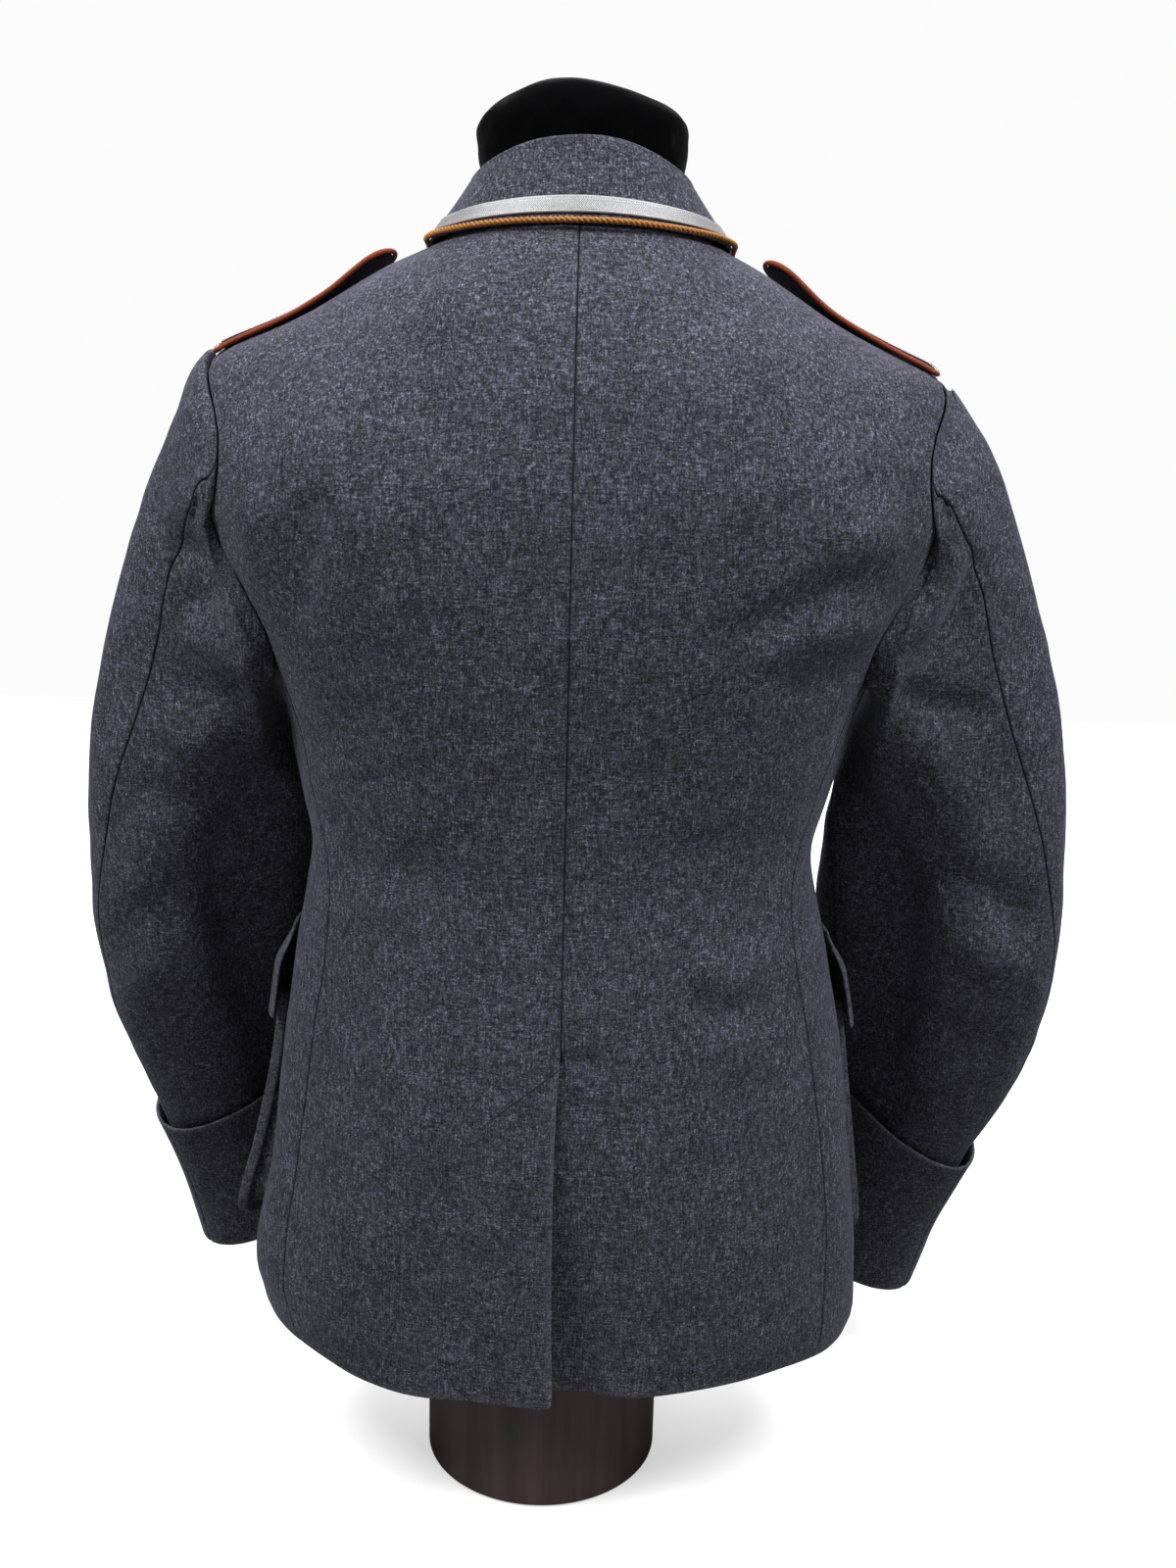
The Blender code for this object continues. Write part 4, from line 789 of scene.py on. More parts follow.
front = {
    "columns": 96, "lap": 0.02, "lapBlend": (-2.6, -1.2), "flatter": 0.9, "flatFrom": (158, 172),
    "flat": (0.4, 0.74), "area": 0.23,
    "buttonHeights": [0.668, 0.572, 0.478, 0.384, 0.29], "buttonRise": 0.115,
    "holeLength": 0.021, "holeHalf": 0.0014, "holePitch": 0.00075, "holeThread": (0.00055, 0.00052),
}


def frontOffset(angle, level, side):
    if side < 0:
        return np.zeros_like(angle)
    laps = (np.asarray(angle) - 180) / angleFor(front["lap"], level)
    return (garment["wall"] + garment["gap"] * 1.6) * ease(laps, *front["lapBlend"])


def frontSurface(angle, level, side):
    points, normal = onTrunk(angle, level, side), outOf(angle, level, side)
    calm = 1 - front["flatter"] * ease(angle, *front["flatFrom"])
    lift = frontOffset(angle, level, side) + bodyRelief(points, level) * calm
    return points + normal * lift[..., None], normal


def makeFront(side, name, node):
    turned = np.linspace(67.0, 106.0, 18)[1:-1]
    early = np.array(frontHole["level"][:4])
    bend = np.interp(turned, frontHole["angle"][:4], early)
    levels = rowLevels(np.concatenate([[garment["seamTop"]], bend, np.linspace(0.85, 0.9, 12)]))
    start = outerEdge(levels, frontHole) + angleFor(garment["gap"] / 2, levels) * 1.5
    end = 180 + angleFor(front["lap"], levels)
    angle = panelAngles(start, end, levels, side, 40, front["columns"])
    level = np.repeat(levels[:, None], angle.shape[1], 1)
    level[-1] -= garment["neckTuck"]
    outer, normal = frontSurface(angle, level, side)
    edges = [(outer[:, 0], "seam"), (outer[:, -1], "free"), (outer[0, :], "free")]
    piece = woolPiece(name, node, outer, normal, edges, flip=side > 0)


for side, name, node in ((1, "frontLeft", "front_left"), (-1, "frontRight", "front_right")):
    makeFront(side, name, node)


def frontStitches():
    drop = back["stitchIn"] / bodyTall
    up = np.linspace(drop, 1.93, 260)
    edge = 180 + angleFor(front["lap"] - back["stitchIn"], up)
    first = outerEdge(np.array(drop), frontHole) + 0.4
    return [(*frontSurface(edge, up, 1), stitch["pitch"]), hemRow(frontSurface, first, edge[0], 1, 260),
            hemRow(frontSurface, first, 184.0, -1, 260)]


def buttonLevel(height):
    if height > garment["chest"]:
        return 1 + (height - garment["chest"]) / front["buttonRise"]
    return (height - garment["hem"]) / bodyTall


def buttonholeRows():  # close thread bars round each slit in the left front
    rows = []
    for height in front["buttonHeights"]:
        level = buttonLevel(height)
        half = angleFor(front["holeLength"], level)
        for rise in (-front["holeHalf"], front["holeHalf"]):
            angle = np.linspace(180 - half * 0.25, 180 + half * 0.72, 14)
            rows.append((*frontSurface(angle, np.full(14, level + rise / bodyTall), 1), front["holePitch"]))
    return rows


addStitches("frontStitches", frontStitches())
addStitches("buttonholeThreads", buttonholeRows(), *front["holeThread"])
print("fronts made")


# sleeves

sleeve = {
    "fade": 0.26, "end": 0.985, "length": 0.62, "rows": 118, "columns": {"top": 70, "under": 52},
    "flat": {"top": (0.26, 0.66), "under": (0.18, 0.6)}, "area": {"top": 0.125, "under": 0.078},
    "creaseDepth": 0.92, "creaseWidth": 1.22, "lumps": [(0.0007, 0.07, 21), (0.00025, 0.026, 22)],
}
sleeveRings = {
    "outX": [0.2155, 0.228, 0.241, 0.2555, 0.272, 0.286, 0.299, 0.3055, 0.308, 0.305, 0.296, 0.282, 0.2705,
             0.262],
    "outY": [0.0, 0.0, 0.0, -0.002, -0.004, -0.006, -0.007, -0.01, -0.017, -0.032, -0.051, -0.071,
             -0.093, -0.115],
    "outZ": [0.708, 0.7085, 0.678, 0.64, 0.595, 0.55, 0.493, 0.43, 0.364, 0.306, 0.25, 0.198, 0.14, 0.0725],
    "inX": [0.181, 0.1835, 0.183, 0.178, 0.1735, 0.169, 0.166, 0.165, 0.166, 0.169, 0.172, 0.172, 0.17, 0.166],
    "inY": [0.0, 0.0, -0.005, -0.014, -0.026, -0.036, -0.048, -0.061, -0.076, -0.094, -0.111, -0.127,
            -0.143, -0.158],
    "inZ": [0.532, 0.527, 0.516, 0.498, 0.476, 0.452, 0.428, 0.4, 0.366, 0.33, 0.29, 0.248, 0.19, 0.1245],
    "depth": [0.052, 0.055, 0.056, 0.055, 0.053, 0.051, 0.048, 0.045, 0.043, 0.042, 0.041, 0.04, 0.039, 0.038],
    "rightX": [0.0, -0.0035, 0.0025, 0.005, 0.006, 0.008, 0.01, 0.011, 0.013, 0.014, 0.013, 0.006, 0.001,
               -0.004],
    "rightIn": [0.0, 0.0, 0.001, 0.001, 0.001, 0.002, 0.003, 0.004, 0.004, 0.004, 0.004, 0.002, 0.0,
                -0.002],
    "ridge": [0.0, -0.36, -0.62, -0.74, -0.64, -0.42, -0.13, 0.12, 0.22, 0.22, 0.18, 0.12, 0.06, 0.0],
    "rightZ": [0.0, 0.0008, 0.0, -0.001, -0.002, -0.003, -0.005, -0.008, -0.01, -0.012, -0.014, -0.016,
               -0.02, -0.024],
}
sleeveSeams = {
    "place": [0.0, 0.03, 0.065, 0.12, 0.17, 0.21, 0.26, 0.33, 0.4, 0.44, 0.49, 0.56, 0.61, 0.7, 1.0],
    "hind": [73.5, 77.0, 79.0, 75.0, 69.0, 62.5, 58.0, 56.0, 53.0, 49.0, 41.0, 28.0, 17.0, 10.0, 8.0],
    "fore": [205.0, 205.0, 205.0, 204.0, 203.0, 201.0, 197.0, 188.0, 175.0, 167.0, 157.0, 147.0, 143.0, 140.0,
             140.0],
}


def armholeRing():
    turned = np.interp(np.linspace(67.0, 106.0, 24)[1:], frontHole["angle"][:4], frontHole["level"][:4])
    up = np.concatenate([turned, np.linspace(0.852, 1.5, 90)])
    down = np.linspace(1.5, 0.83, 96)[1:]
    angle = np.concatenate([smooth(up, frontHole["level"], frontHole["angle"]),
                            smooth(down, backHole["level"], backHole["angle"])])
    return angle, np.concatenate([up, down])


def sleeveTable(at, column):
    return smooth(at, np.linspace(0, 1, len(sleeveRings["outX"])), sleeveRings[column])


def ringFrame(down, side):
    def ends(at):
        right = 0.0 if side > 0 else 1.0
        dx, dz = right * sleeveTable(at, "rightX"), right * sleeveTable(at, "rightZ")
        outer = np.stack([sleeveTable(at, "outX") + dx, sleeveTable(at, "outY"),
                          sleeveTable(at, "outZ") + dz], -1)
        inner = np.stack([sleeveTable(at, "inX") + right * sleeveTable(at, "rightIn"), sleeveTable(at, "inY"),
                          sleeveTable(at, "inZ") + dz], -1)
        return outer, inner
    outer, inner = ends(down)
    later, earlier = ends(np.clip(down + 0.05, 0, 1)), ends(np.clip(down - 0.05, 0, 1))
    axis = (later[0] + later[1]) - (earlier[0] + earlier[1])
    axis = unit(axis * np.stack([np.ones_like(down), ease(down, 0.05, 0.45), np.ones_like(down)], -1))
    half = (outer - inner) / 2
    return (outer + inner) / 2, half, unit(np.cross(half, axis))


def ringAngles(side):
    angle, level = armholeRing()
    points = trunkBase(angle, level, side, 0.0)
    centre, half, deep = ringFrame(np.array([0.0]), side)
    local = points - centre[0]
    size = np.linalg.norm(half[0])
    turn = np.degrees(np.unwrap(np.arctan2(local @ deep[0] / sleeveTable(0.0, "depth"),
                                           local @ (half[0] / size) / size)))
    order = np.argsort(turn)
    return turn[order], points[order]


armholes = {side: ringAngles(side) for side in (1, -1)}


def section(turn, ridge):
    c, s = np.cos(np.radians(turn)), np.sin(np.radians(turn))
    k = np.where(s > 0, ridge, 0.0)
    a = np.where(np.arctan2(s, c) < np.arctan2(1.0, k), 1 - k, 1 + k)
    square = c ** 2 / a ** 2 + s ** 2
    r = (k * c / a ** 2 + np.sqrt(k ** 2 * c ** 2 / a ** 4 - square * (k ** 2 / a ** 2 - 1))) / square
    return r * c, r * s


def ringPoint(turn, down, side):
    centre, half, deep = ringFrame(np.asarray(down, float), side)
    c, s = section(turn, sleeveTable(down, "ridge"))
    return centre + c[..., None] * half + (s * sleeveTable(down, "depth"))[..., None] * deep


def sleeveBase(turn, start, down, side):
    turn0, points0 = armholes[side]
    wrapped = np.mod(start - turn0[0], 360) + turn0[0]
    ring, loop = np.append(turn0, turn0[0] + 360), np.concatenate([points0, points0[:1]])
    hole = np.stack([np.interp(wrapped, ring, loop[:, k]) for k in range(3)], -1) + [garment["gap"], 0, 0]
    hole = hole - unit((hole - ringFrame(np.zeros(1), side)[0][0]) * [0, 1, 1]) * garment["gap"] / 2
    first = ringPoint(start, np.zeros_like(down), side)
    fade = (1 - ease(down, 0.0, sleeve["fade"]))[..., None]
    return (ringPoint(turn, down, side) + (hole - first) * fade) * [side, 1, 1]


def seamTurns(down, part):
    hind = smooth(down, sleeveSeams["place"], sleeveSeams["hind"])
    fore = smooth(down, sleeveSeams["place"], sleeveSeams["fore"])
    return (fore - 360, hind) if part == "top" else (hind, fore)


armCreases = {  # (turn, down) points, depth, width
    1: [
        ([(52, 0.245), (66, 0.215), (92, 0.16), (114, 0.075)], -0.005, 0.0085),
        ([(67, 0.275), (84, 0.235), (101, 0.185), (118, 0.11)], -0.0036, 0.008),
        ([(41, 0.225), (61, 0.165), (85, 0.075)], 0.004, 0.012),
        ([(49, 0.315), (58, 0.37), (77, 0.385)], -0.0026, 0.01),
        ([(70, 0.31), (92, 0.27), (110, 0.23), (132, 0.16)], 0.004, 0.01),
        ([(66, 0.385), (85, 0.35), (105, 0.31), (132, 0.22)], -0.0032, 0.0085),
        ([(52, 0.445), (70, 0.425), (88, 0.412), (106, 0.395)], 0.0036, 0.011),
        ([(48, 0.505), (64, 0.49), (80, 0.486), (98, 0.48)], -0.0034, 0.01),
        ([(24, 0.655), (40, 0.628), (58, 0.6), (75, 0.572), (92, 0.53)], -0.0042, 0.012),
        ([(30, 0.7), (46, 0.672), (62, 0.65), (80, 0.62)], 0.0036, 0.012),
        ([(40, 0.78), (58, 0.765), (78, 0.735)], -0.002, 0.012),
        ([(46, 0.05), (48, 0.115), (32, 0.19)], 0.0026, 0.014),
        ([(32, 0.365), (33, 0.42), (28, 0.48)], -0.0018, 0.01),
    ],
    -1: [
        ([(97, 0.06), (104, 0.085), (113, 0.083), (124, 0.05)], -0.005, 0.0075),
        ([(62, 0.2), (72, 0.228), (86, 0.235), (103, 0.22), (124, 0.13)], -0.0048, 0.0085),
        ([(76, 0.16), (88, 0.178), (101, 0.175), (118, 0.135)], 0.0042, 0.0085),
        ([(80, 0.06), (69, 0.125), (60, 0.18), (50, 0.23)], 0.0042, 0.012),
        ([(62, 0.1), (52, 0.15), (44, 0.17)], 0.0026, 0.012),
        ([(128, 0.19), (116, 0.245), (103, 0.3), (88, 0.338), (72, 0.372), (60, 0.4)], -0.0046, 0.008),
        ([(122, 0.285), (108, 0.345), (86, 0.42), (66, 0.48)], 0.004, 0.013),
        ([(108, 0.47), (96, 0.505), (84, 0.525), (63, 0.557), (46, 0.58), (30, 0.598)], -0.005, 0.0115),
        ([(98, 0.555), (84, 0.58), (70, 0.602), (51, 0.618), (36, 0.63)], 0.004, 0.011),
        ([(98, 0.635), (88, 0.655), (76, 0.68), (56, 0.698), (40, 0.7)], -0.003, 0.011),
        ([(36, 0.3), (35, 0.345), (32, 0.4), (20, 0.46)], -0.0026, 0.01),
        ([(60, 0.76), (72, 0.745), (88, 0.72)], 0.002, 0.012),
        ([(20, 0.52), (24, 0.62), (20, 0.7)], 0.0018, 0.014),
    ],
}
for side in (1, -1):  # the sleeves' fronts
    armCreases[side] += [
        ([(236, 0.09), (252, 0.15), (268, 0.2)], -0.004, 0.009),
        ([(226, 0.17), (244, 0.235), (266, 0.27)], 0.0034, 0.01),
        ([(214, 0.3), (236, 0.345), (260, 0.36)], -0.0036, 0.009),
        ([(206, 0.44), (232, 0.455), (262, 0.44)], 0.0032, 0.011),
        ([(200, 0.52), (228, 0.54), (262, 0.52), (290, 0.49)], -0.0042, 0.011),
        ([(206, 0.6), (234, 0.612), (264, 0.59)], 0.0032, 0.011),
        ([(212, 0.69), (240, 0.7), (270, 0.68)], -0.0026, 0.011),
        ([(300, 0.08), (306, 0.16), (300, 0.24)], 0.0022, 0.015),
    ]


armPaths = {side: creasePaths(armCreases[side], lambda turn, down: sleeveBase(turn, turn, down, side),
                              sleeve["creaseDepth"], sleeve["creaseWidth"]) for side in (1, -1)}


def sleevePoints(part, share, down, side):  # surface and normal: share runs from one seam to the other
    def at(u, v):
        low0, high0 = seamTurns(np.zeros_like(v), part)
        low, high = seamTurns(v, part)
        return sleeveBase(low + (high - low) * u, low0 + (high0 - low0) * u, v, side)
    e = 0.015
    across = at(share + e, down) - at(share - e, down)
    fall = at(share, np.clip(down + e, 0, 1)) - at(share, np.clip(down - e, 0, 1))
    normal = unit(np.cross(fall, across)) * side
    middle = ringFrame(np.zeros(1), side)[0][0] * [side, 1, 1]
    radial = unit((at(share, np.zeros_like(down)) - middle) * [0, 1, 1])
    mix = (1 - ease(down, 0.0, 0.06))[..., None]
    return at(share, down), unit(normal * (1 - mix) + radial * mix)


armLedge = {  # where the full back of each sleeve drops away towards its inner side
    1: {"down": [0.0, 0.15, 0.305, 0.4, 0.495, 0.575, 0.655, 0.75, 0.82, 1.0],
        "turn": [150.0, 138.0, 121.0, 107.0, 89.0, 76.0, 78.0, 82.0, 79.0, 76.0]},
    -1: {"down": [0.0, 0.15, 0.31, 0.435, 0.515, 0.575, 0.645, 0.72, 0.795, 1.0],
         "turn": [150.0, 142.0, 127.0, 111.0, 95.0, 84.0, 83.0, 81.0, 72.0, 68.0]},
    "depth": 0.013, "fullness": 0.0045, "fullAt": 16, "fullWide": 17,
    "fall": (-3, 17), "rise": (24, 64), "grows": (0.14, 0.36), "fades": (0.62, 0.86), "fadeBy": 0.6,
}
armHead = {"turn": -4, "spread": 52, "rise": {1: (0.004, 0.02, 0.08), -1: (0.0068, 0.0, 0.05)},
           "end": {1: (0.14, 0.26), -1: (0.07, 0.22)}, "roll": (0.0042, 0.014, 0.025, 0.085)}


def ledgeFall(turn, down, side):
    turn = np.mod(turn, 360)
    past = turn - smooth(down, armLedge[side]["down"], armLedge[side]["turn"])
    amount = ease(down, *armLedge["grows"]) * (1 - armLedge["fadeBy"] * ease(down, *armLedge["fades"]))
    drop = ease(past, *armLedge["fall"]) * (1 - ease(past, *armLedge["rise"]))
    full = np.exp(-((past + armLedge["fullAt"]) / armLedge["fullWide"]) ** 2)
    return amount * (armLedge["fullness"] * full - armLedge["depth"] * drop)


def headFall(turn, down, side):  # the left head stands up over its seam and both fall in below it
    amount, low, high = armHead["rise"][side]
    head = amount * ease(down, low, high) * (1 - ease(down, *armHead["end"][side]))
    if side > 0:
        amount, full, low, high = armHead["roll"]
        head = head - amount * ease(down, 0.0, full) * (1 - ease(down, low, high))
    return head * np.exp(-((turn - armHead["turn"]) / armHead["spread"]) ** 2)


def sleeveSurface(part, share, down, side):
    points, normal = sleevePoints(part, share, down, side)
    low, high = seamTurns(down, part)
    calm = ease(down, 0.0, 0.04) * (1 - ease(down, 0.84, 0.9))
    turn = np.mod(low + (high - low) * share + 180, 360) - 180
    lift = relief(points, armPaths[side], sleeve["lumps"]) + ledgeFall(turn, down, side)
    return points + normal * (lift * calm - headFall(turn, down, side))[..., None], normal


def makeSleeve(part, side, name, node):
    ends = np.array(nearEdge) / sleeve["length"]
    downs = np.concatenate([ends, np.linspace(0.012, 0.1, 26), np.linspace(0.105, 0.97, sleeve["rows"]),
                            sleeve["end"] - ends[::-1]])
    t = np.linspace(0, 1, 40)
    rough = sleevePoints(part, np.repeat(t[None, :], len(downs), 0), np.repeat(downs[:, None], 40, 1), side)[0]
    width = np.linalg.norm(np.diff(rough, axis=1), axis=-1).sum(1)
    gap = garment["gap"] / width[:, None]
    share = gap + (1 - 2 * gap) * clothShares(width, sleeve["columns"][part])
    down = np.repeat(downs[:, None], share.shape[1], 1)
    outer, normal = sleeveSurface(part, share, down, side)
    edges = [(outer[:, 0], "seam"), (outer[:, -1], "seam"), (outer[0, :], "seam"), (outer[-1, :], "free")]
    piece = woolPiece(name, node, outer, normal, edges, flip=side > 0)


for side, tag in ((1, "Left"), (-1, "Right")):
    makeSleeve("top", side, "sleeveTop" + tag, "sleeve_top_" + tag.lower())
    makeSleeve("under", side, "sleeveUnder" + tag, "sleeve_under_" + tag.lower())
print("sleeves made")


# turned-back cuffs

cuff = {"end": 0.992, "top": 0.855, "flare": 0.0032, "tilt": {1: 0.034, -1: 0.066}, "clear": 4.4,
        "turns": 150, "rows": 34, "seamTurn": 14.0, "seamSunk": 0.0009, "seamWide": 0.9,
        "nearSeam": [-1.4, -0.9, -0.5, 0.0, 0.5, 0.9, 1.4],
        "wave": (0.0006, 0.06, 31), "deep": 0.085, "stitchIn": 0.003, "flat": (0.4, 0.135), "area": 0.047}


def cuffSurface(turn, rise, side):
    tilt = cuff["tilt"][side] * (1 - np.cos(np.radians(turn))) / 2
    depth = cuff["end"] - (cuff["end"] - cuff["top"] + tilt) * rise
    base = sleeveBase(turn, turn, depth, side)
    e = 0.01
    across = sleeveBase(turn + 2, turn, depth, side) - sleeveBase(turn - 2, turn, depth, side)
    fall = sleeveBase(turn, turn, np.clip(depth + e, 0, 1), side) - sleeveBase(turn, turn, depth - e, side)
    normal = unit(np.cross(fall, across)) * side
    lift = garment["gap"] * cuff["clear"] + cuff["flare"] * rise ** 1.6 + garment["wall"]
    points = base + normal * lift[..., None]
    fromSeam = np.mod(turn - cuff["seamTurn"] + 180, 360) - 180
    seam = np.exp(-(fromSeam / cuff["seamWide"]) ** 2) * -cuff["seamSunk"]
    height, size, seed = cuff["wave"]
    wave = height * unevenness(points, size, seed + side) * ease(rise, 0.0, 0.3)
    return points + normal * (seam + wave)[..., None], normal


def makeCuff(side, name, node):
    turns = np.sort(np.concatenate([np.linspace(0, 360, cuff["turns"], endpoint=False),
                                    cuff["seamTurn"] + np.array(cuff["nearSeam"])]))
    rim = np.array(nearEdge) / cuff["deep"]
    rises = np.concatenate([rim, np.linspace(0.07, 0.93, cuff["rows"]), 1 - rim[::-1]])
    turn, rise = np.meshgrid(turns, rises)
    outer, normal = cuffSurface(turn, rise, side)
    loops = [np.concatenate([outer[k], outer[k][:1]]) for k in (0, -1)]
    piece = woolPiece(name, node, outer, normal, [(loop, "free") for loop in loops], closed=True, flip=side < 0)


def cuffStitches():
    turn, rise = np.linspace(0, 360, 200), np.full(200, 1 - cuff["stitchIn"] / cuff["deep"])
    return [(*cuffSurface(turn, rise, side), stitch["pitch"]) for side in (1, -1)]


for side, tag in ((1, "Left"), (-1, "Right")):
    makeCuff(side, "cuff" + tag, "cuff_" + tag.lower())
addStitches("cuffStitches", cuffStitches())
print("cuffs made")


# skirt pockets and flaps

pocket = {
    "low": 0.095, "high": 0.415, "rear": {1: 93.0, -1: 97.0}, "front": 147.0, "corner": 0.02,
    "recess": 0.0105, "edge": 0.0044, "rise": {1: (0.0185, 0.009), -1: (0.0092, 0.008)},
    "middle": (0.28, 0.72), "flat": (0.26, 0.22), "area": 0.033,
    "nearEdge": (0.0009, 0.0022, 0.0038, 0.0052, 0.0075), "inward": (0.08, 0.18, 0.3, 0.45, 0.62, 0.8, 1.0),
    "stitchRows": (0.0009, 0.0046), "stitchPitch": 0.0028,
}
flap = {"low": 0.392, "high": 0.515, "rear": {1: 84.0, -1: 88.0}, "front": 155.0,
        "rise": {1: 0.0094, -1: 0.0086}, "seat": 0.0014, "flat": (0.225, 0.07), "area": 0.014,
        "rim": [0.0, 0.0035, 0.008, 0.014, 0.022], "rimUp": [0.0, 0.008, 0.018, 0.03, 0.046],
        "stitchIn": 0.003 / 0.22, "stitchUp": 0.003 / 0.065}  # shares of the flap's width and depth


def skirtPoint(side, s, w, out, low, high, rear, far):
    angle, level = rear + (far - rear) * s, low + (high - low) * w
    return onTrunk(angle, level, side) + outOf(angle, level, side) * np.asarray(out)[..., None]


def pocketSpan(side):
    tall = (pocket["high"] - pocket["low"]) * bodyTall
    line = skirtPoint(side, np.linspace(0, 1, 20), np.full(20, 0.5), np.full(20, 0.01), pocket["low"],
                      pocket["high"], pocket["rear"][side], pocket["front"])
    return np.linalg.norm(np.diff(line, axis=0), axis=1).sum(), tall


def pocketOutline(across, tall, count=34, bends=10):
    r = pocket["corner"]
    bend = np.linspace(0, np.pi / 2, bends)
    rear = [(0.0, z) for z in np.linspace(tall, r, count)[:-1]]
    turn = [(r - r * np.cos(t), r - r * np.sin(t)) for t in bend]
    along = [(x, 0.0) for x in np.linspace(r, across - r, count)[1:-1]]
    turned = [(across - r + r * np.sin(t), r - r * np.cos(t)) for t in bend]
    rising = [(across, z) for z in np.linspace(r, tall, count)[1:]]
    return np.array(rear + turn + along + turned + rising)


def pocketRiseAt(side, z, tall):
    foot, mouth = pocket["rise"][side]
    return foot + (mouth - foot) * ease(z / tall, 0.1, 0.85)


def pocketWall(side, outline, across, tall):
    share = np.linspace(0, 1, len(outline))
    goal = np.stack([across * (pocket["middle"][0] + (pocket["middle"][1] - pocket["middle"][0]) * share),
                     np.full(len(share), tall)], -1)
    inward = goal - outline
    reach = np.linalg.norm(inward, axis=1)
    inward = inward / reach[:, None]
    half = garment["wall"] / 2
    walls = []
    for offset in (half, -half):
        under = -pocket["edge"] - half - offset
        steps = [(pocket["recess"] - offset, None, 0), (pocket["recess"] - offset, None, 0.5),
                 (pocket["recess"] - offset, under, 1), (pocket["recess"] * 0.6 - offset, under, 1),
                 (pocket["recess"] * 0.25 + half - offset, under, 1),
                 (half - offset, under, 1), (half - offset, (offset - half + under) / 2, 1),
                 (half - offset, offset - half, 1)]
        steps += [(half - offset + d, offset - half, 1) for d in pocket["nearEdge"]]
        last = pocket["nearEdge"][-1]
        steps += [(half - offset + last + (reach - half - last) * u, offset - half, 1)
                  for u in pocket["inward"]]
        columns = []
        for run, height, far in steps:
            at = outline + inward * np.reshape(run, (-1, 1))
            rise = pocketRiseAt(side, at[:, 1], tall)
            foot = np.full(len(at), garment["gap"] * 1.4)
            if height is None:
                out = foot + (rise - pocket["edge"] - 2 * half - foot) * far
            else:
                out = rise + height
            columns.append(np.concatenate([at, out[:, None]], 1))
        walls.append(np.stack(columns, 1))
    return walls


def onPocket(side, spots, across, tall):
    spots = np.asarray(spots)
    return skirtPoint(side, spots[..., 0] / across, spots[..., 1] / tall, spots[..., 2], pocket["low"],
                      pocket["high"], pocket["rear"][side], pocket["front"])


def makePocket(side, name, node):
    across, tall = pocketSpan(side)
    outline = pocketOutline(across, tall)
    walls = pocketWall(side, outline, across, tall)
    outer, inner = (onPocket(side, w, across, tall) for w in walls)
    rows, cols = outer.shape[:2]
    faces = gridFaces(rows, cols)
    faces = faces[:, ::-1] if side < 0 else faces
    edgeMark = np.zeros((rows, cols))
    edgeMark[:, 5:9] = 1.0
    marks = {"wear": np.concatenate([edgeMark.ravel(), edgeMark.ravel()]) * 0.7,
             "seamShade": np.zeros(rows * cols * 2)}
    points = np.concatenate([outer.reshape(-1, 3), inner.reshape(-1, 3)])
    piece = addMesh(name, place(points), faces, woolCloth, marks)
    choose(piece)
    soft = piece.modifiers.new("soften", "SUBSURF")
    soft.levels = soft.render_levels = 1
    bpy.ops.object.modifier_apply(modifier="soften")
    finishPiece(piece, "wool", node)


def flapSurface(side, s, w, out):
    taper = ease(s, -0.16, 0.1) * ease(1 - s, -0.16, 0.1)
    rise = flap["seat"] + flap["rise"][side] * taper * ease(1 - w, 0.0, 0.5) + out
    return skirtPoint(side, s, w, rise, flap["low"], flap["high"], flap["rear"][side], flap["front"])


def makeFlap(side, name, node):
    rim, rimUp = np.array(flap["rim"]), np.array(flap["rimUp"])
    s, w = np.meshgrid(np.concatenate([rim, np.linspace(0.035, 0.965, 60), 1 - rim[::-1]]),
                       np.concatenate([rimUp, np.linspace(0.07, 0.93, 26), 1 - rimUp[::-1]]))
    outer = flapSurface(side, s, w, garment["wall"])
    inner = flapSurface(side, s, w, 0.0)
    edges = [(outer[0, :], "free"), (outer[:, 0], "free"), (outer[:, -1], "free"), (outer[-1, :], "seam")]
    piece = woolPiece(name, node, outer, unit(outer - inner), edges, flip=side > 0)


def pocketStitches():
    rows = []
    for side in (1, -1):
        across, tall = pocketSpan(side)
        outline = pocketOutline(across, tall, 80, 14)
        middle = np.array([across / 2, tall * 1.2])
        inward = unit(middle - outline)
        for inset in pocket["stitchRows"]:
            at = outline + inward * inset
            for under in (0.0, 1.0):  # the rows show on both sides of the stitched edge
                out = pocketRiseAt(side, at[:, 1], tall) - under * (pocket["edge"] + garment["wall"])
                spots = onPocket(side, np.concatenate([at, out[:, None]], 1), across, tall)
                away = onPocket(side, np.concatenate([at, out[:, None] + 0.001], 1), across, tall)
                normal = unit(away - spots) * (1 - 2 * under)
                rows.append((spots, normal, pocket["stitchPitch"]))
        inS, inW = flap["stitchIn"], flap["stitchUp"]
        s = np.concatenate([np.full(20, inS), np.linspace(inS, 1 - inS, 90), np.full(20, 1 - inS)])
        w = np.concatenate([np.linspace(0.94, inW, 20), np.full(90, inW), np.linspace(inW, 0.94, 20)])
        spots = flapSurface(side, s, w, garment["wall"])
        rows.append((spots, unit(spots - flapSurface(side, s, w, 0.0)), stitch["pitch"]))
    return rows


for side, tag in ((1, "Left"), (-1, "Right")):
    makePocket(side, "pocket" + tag, "pocket_" + tag.lower())
    makeFlap(side, "pocketFlap" + tag, "pocket_flap_" + tag.lower())
addStitches("pocketStitches", pocketStitches())
print("pockets made")


# collar, its braid and its cord

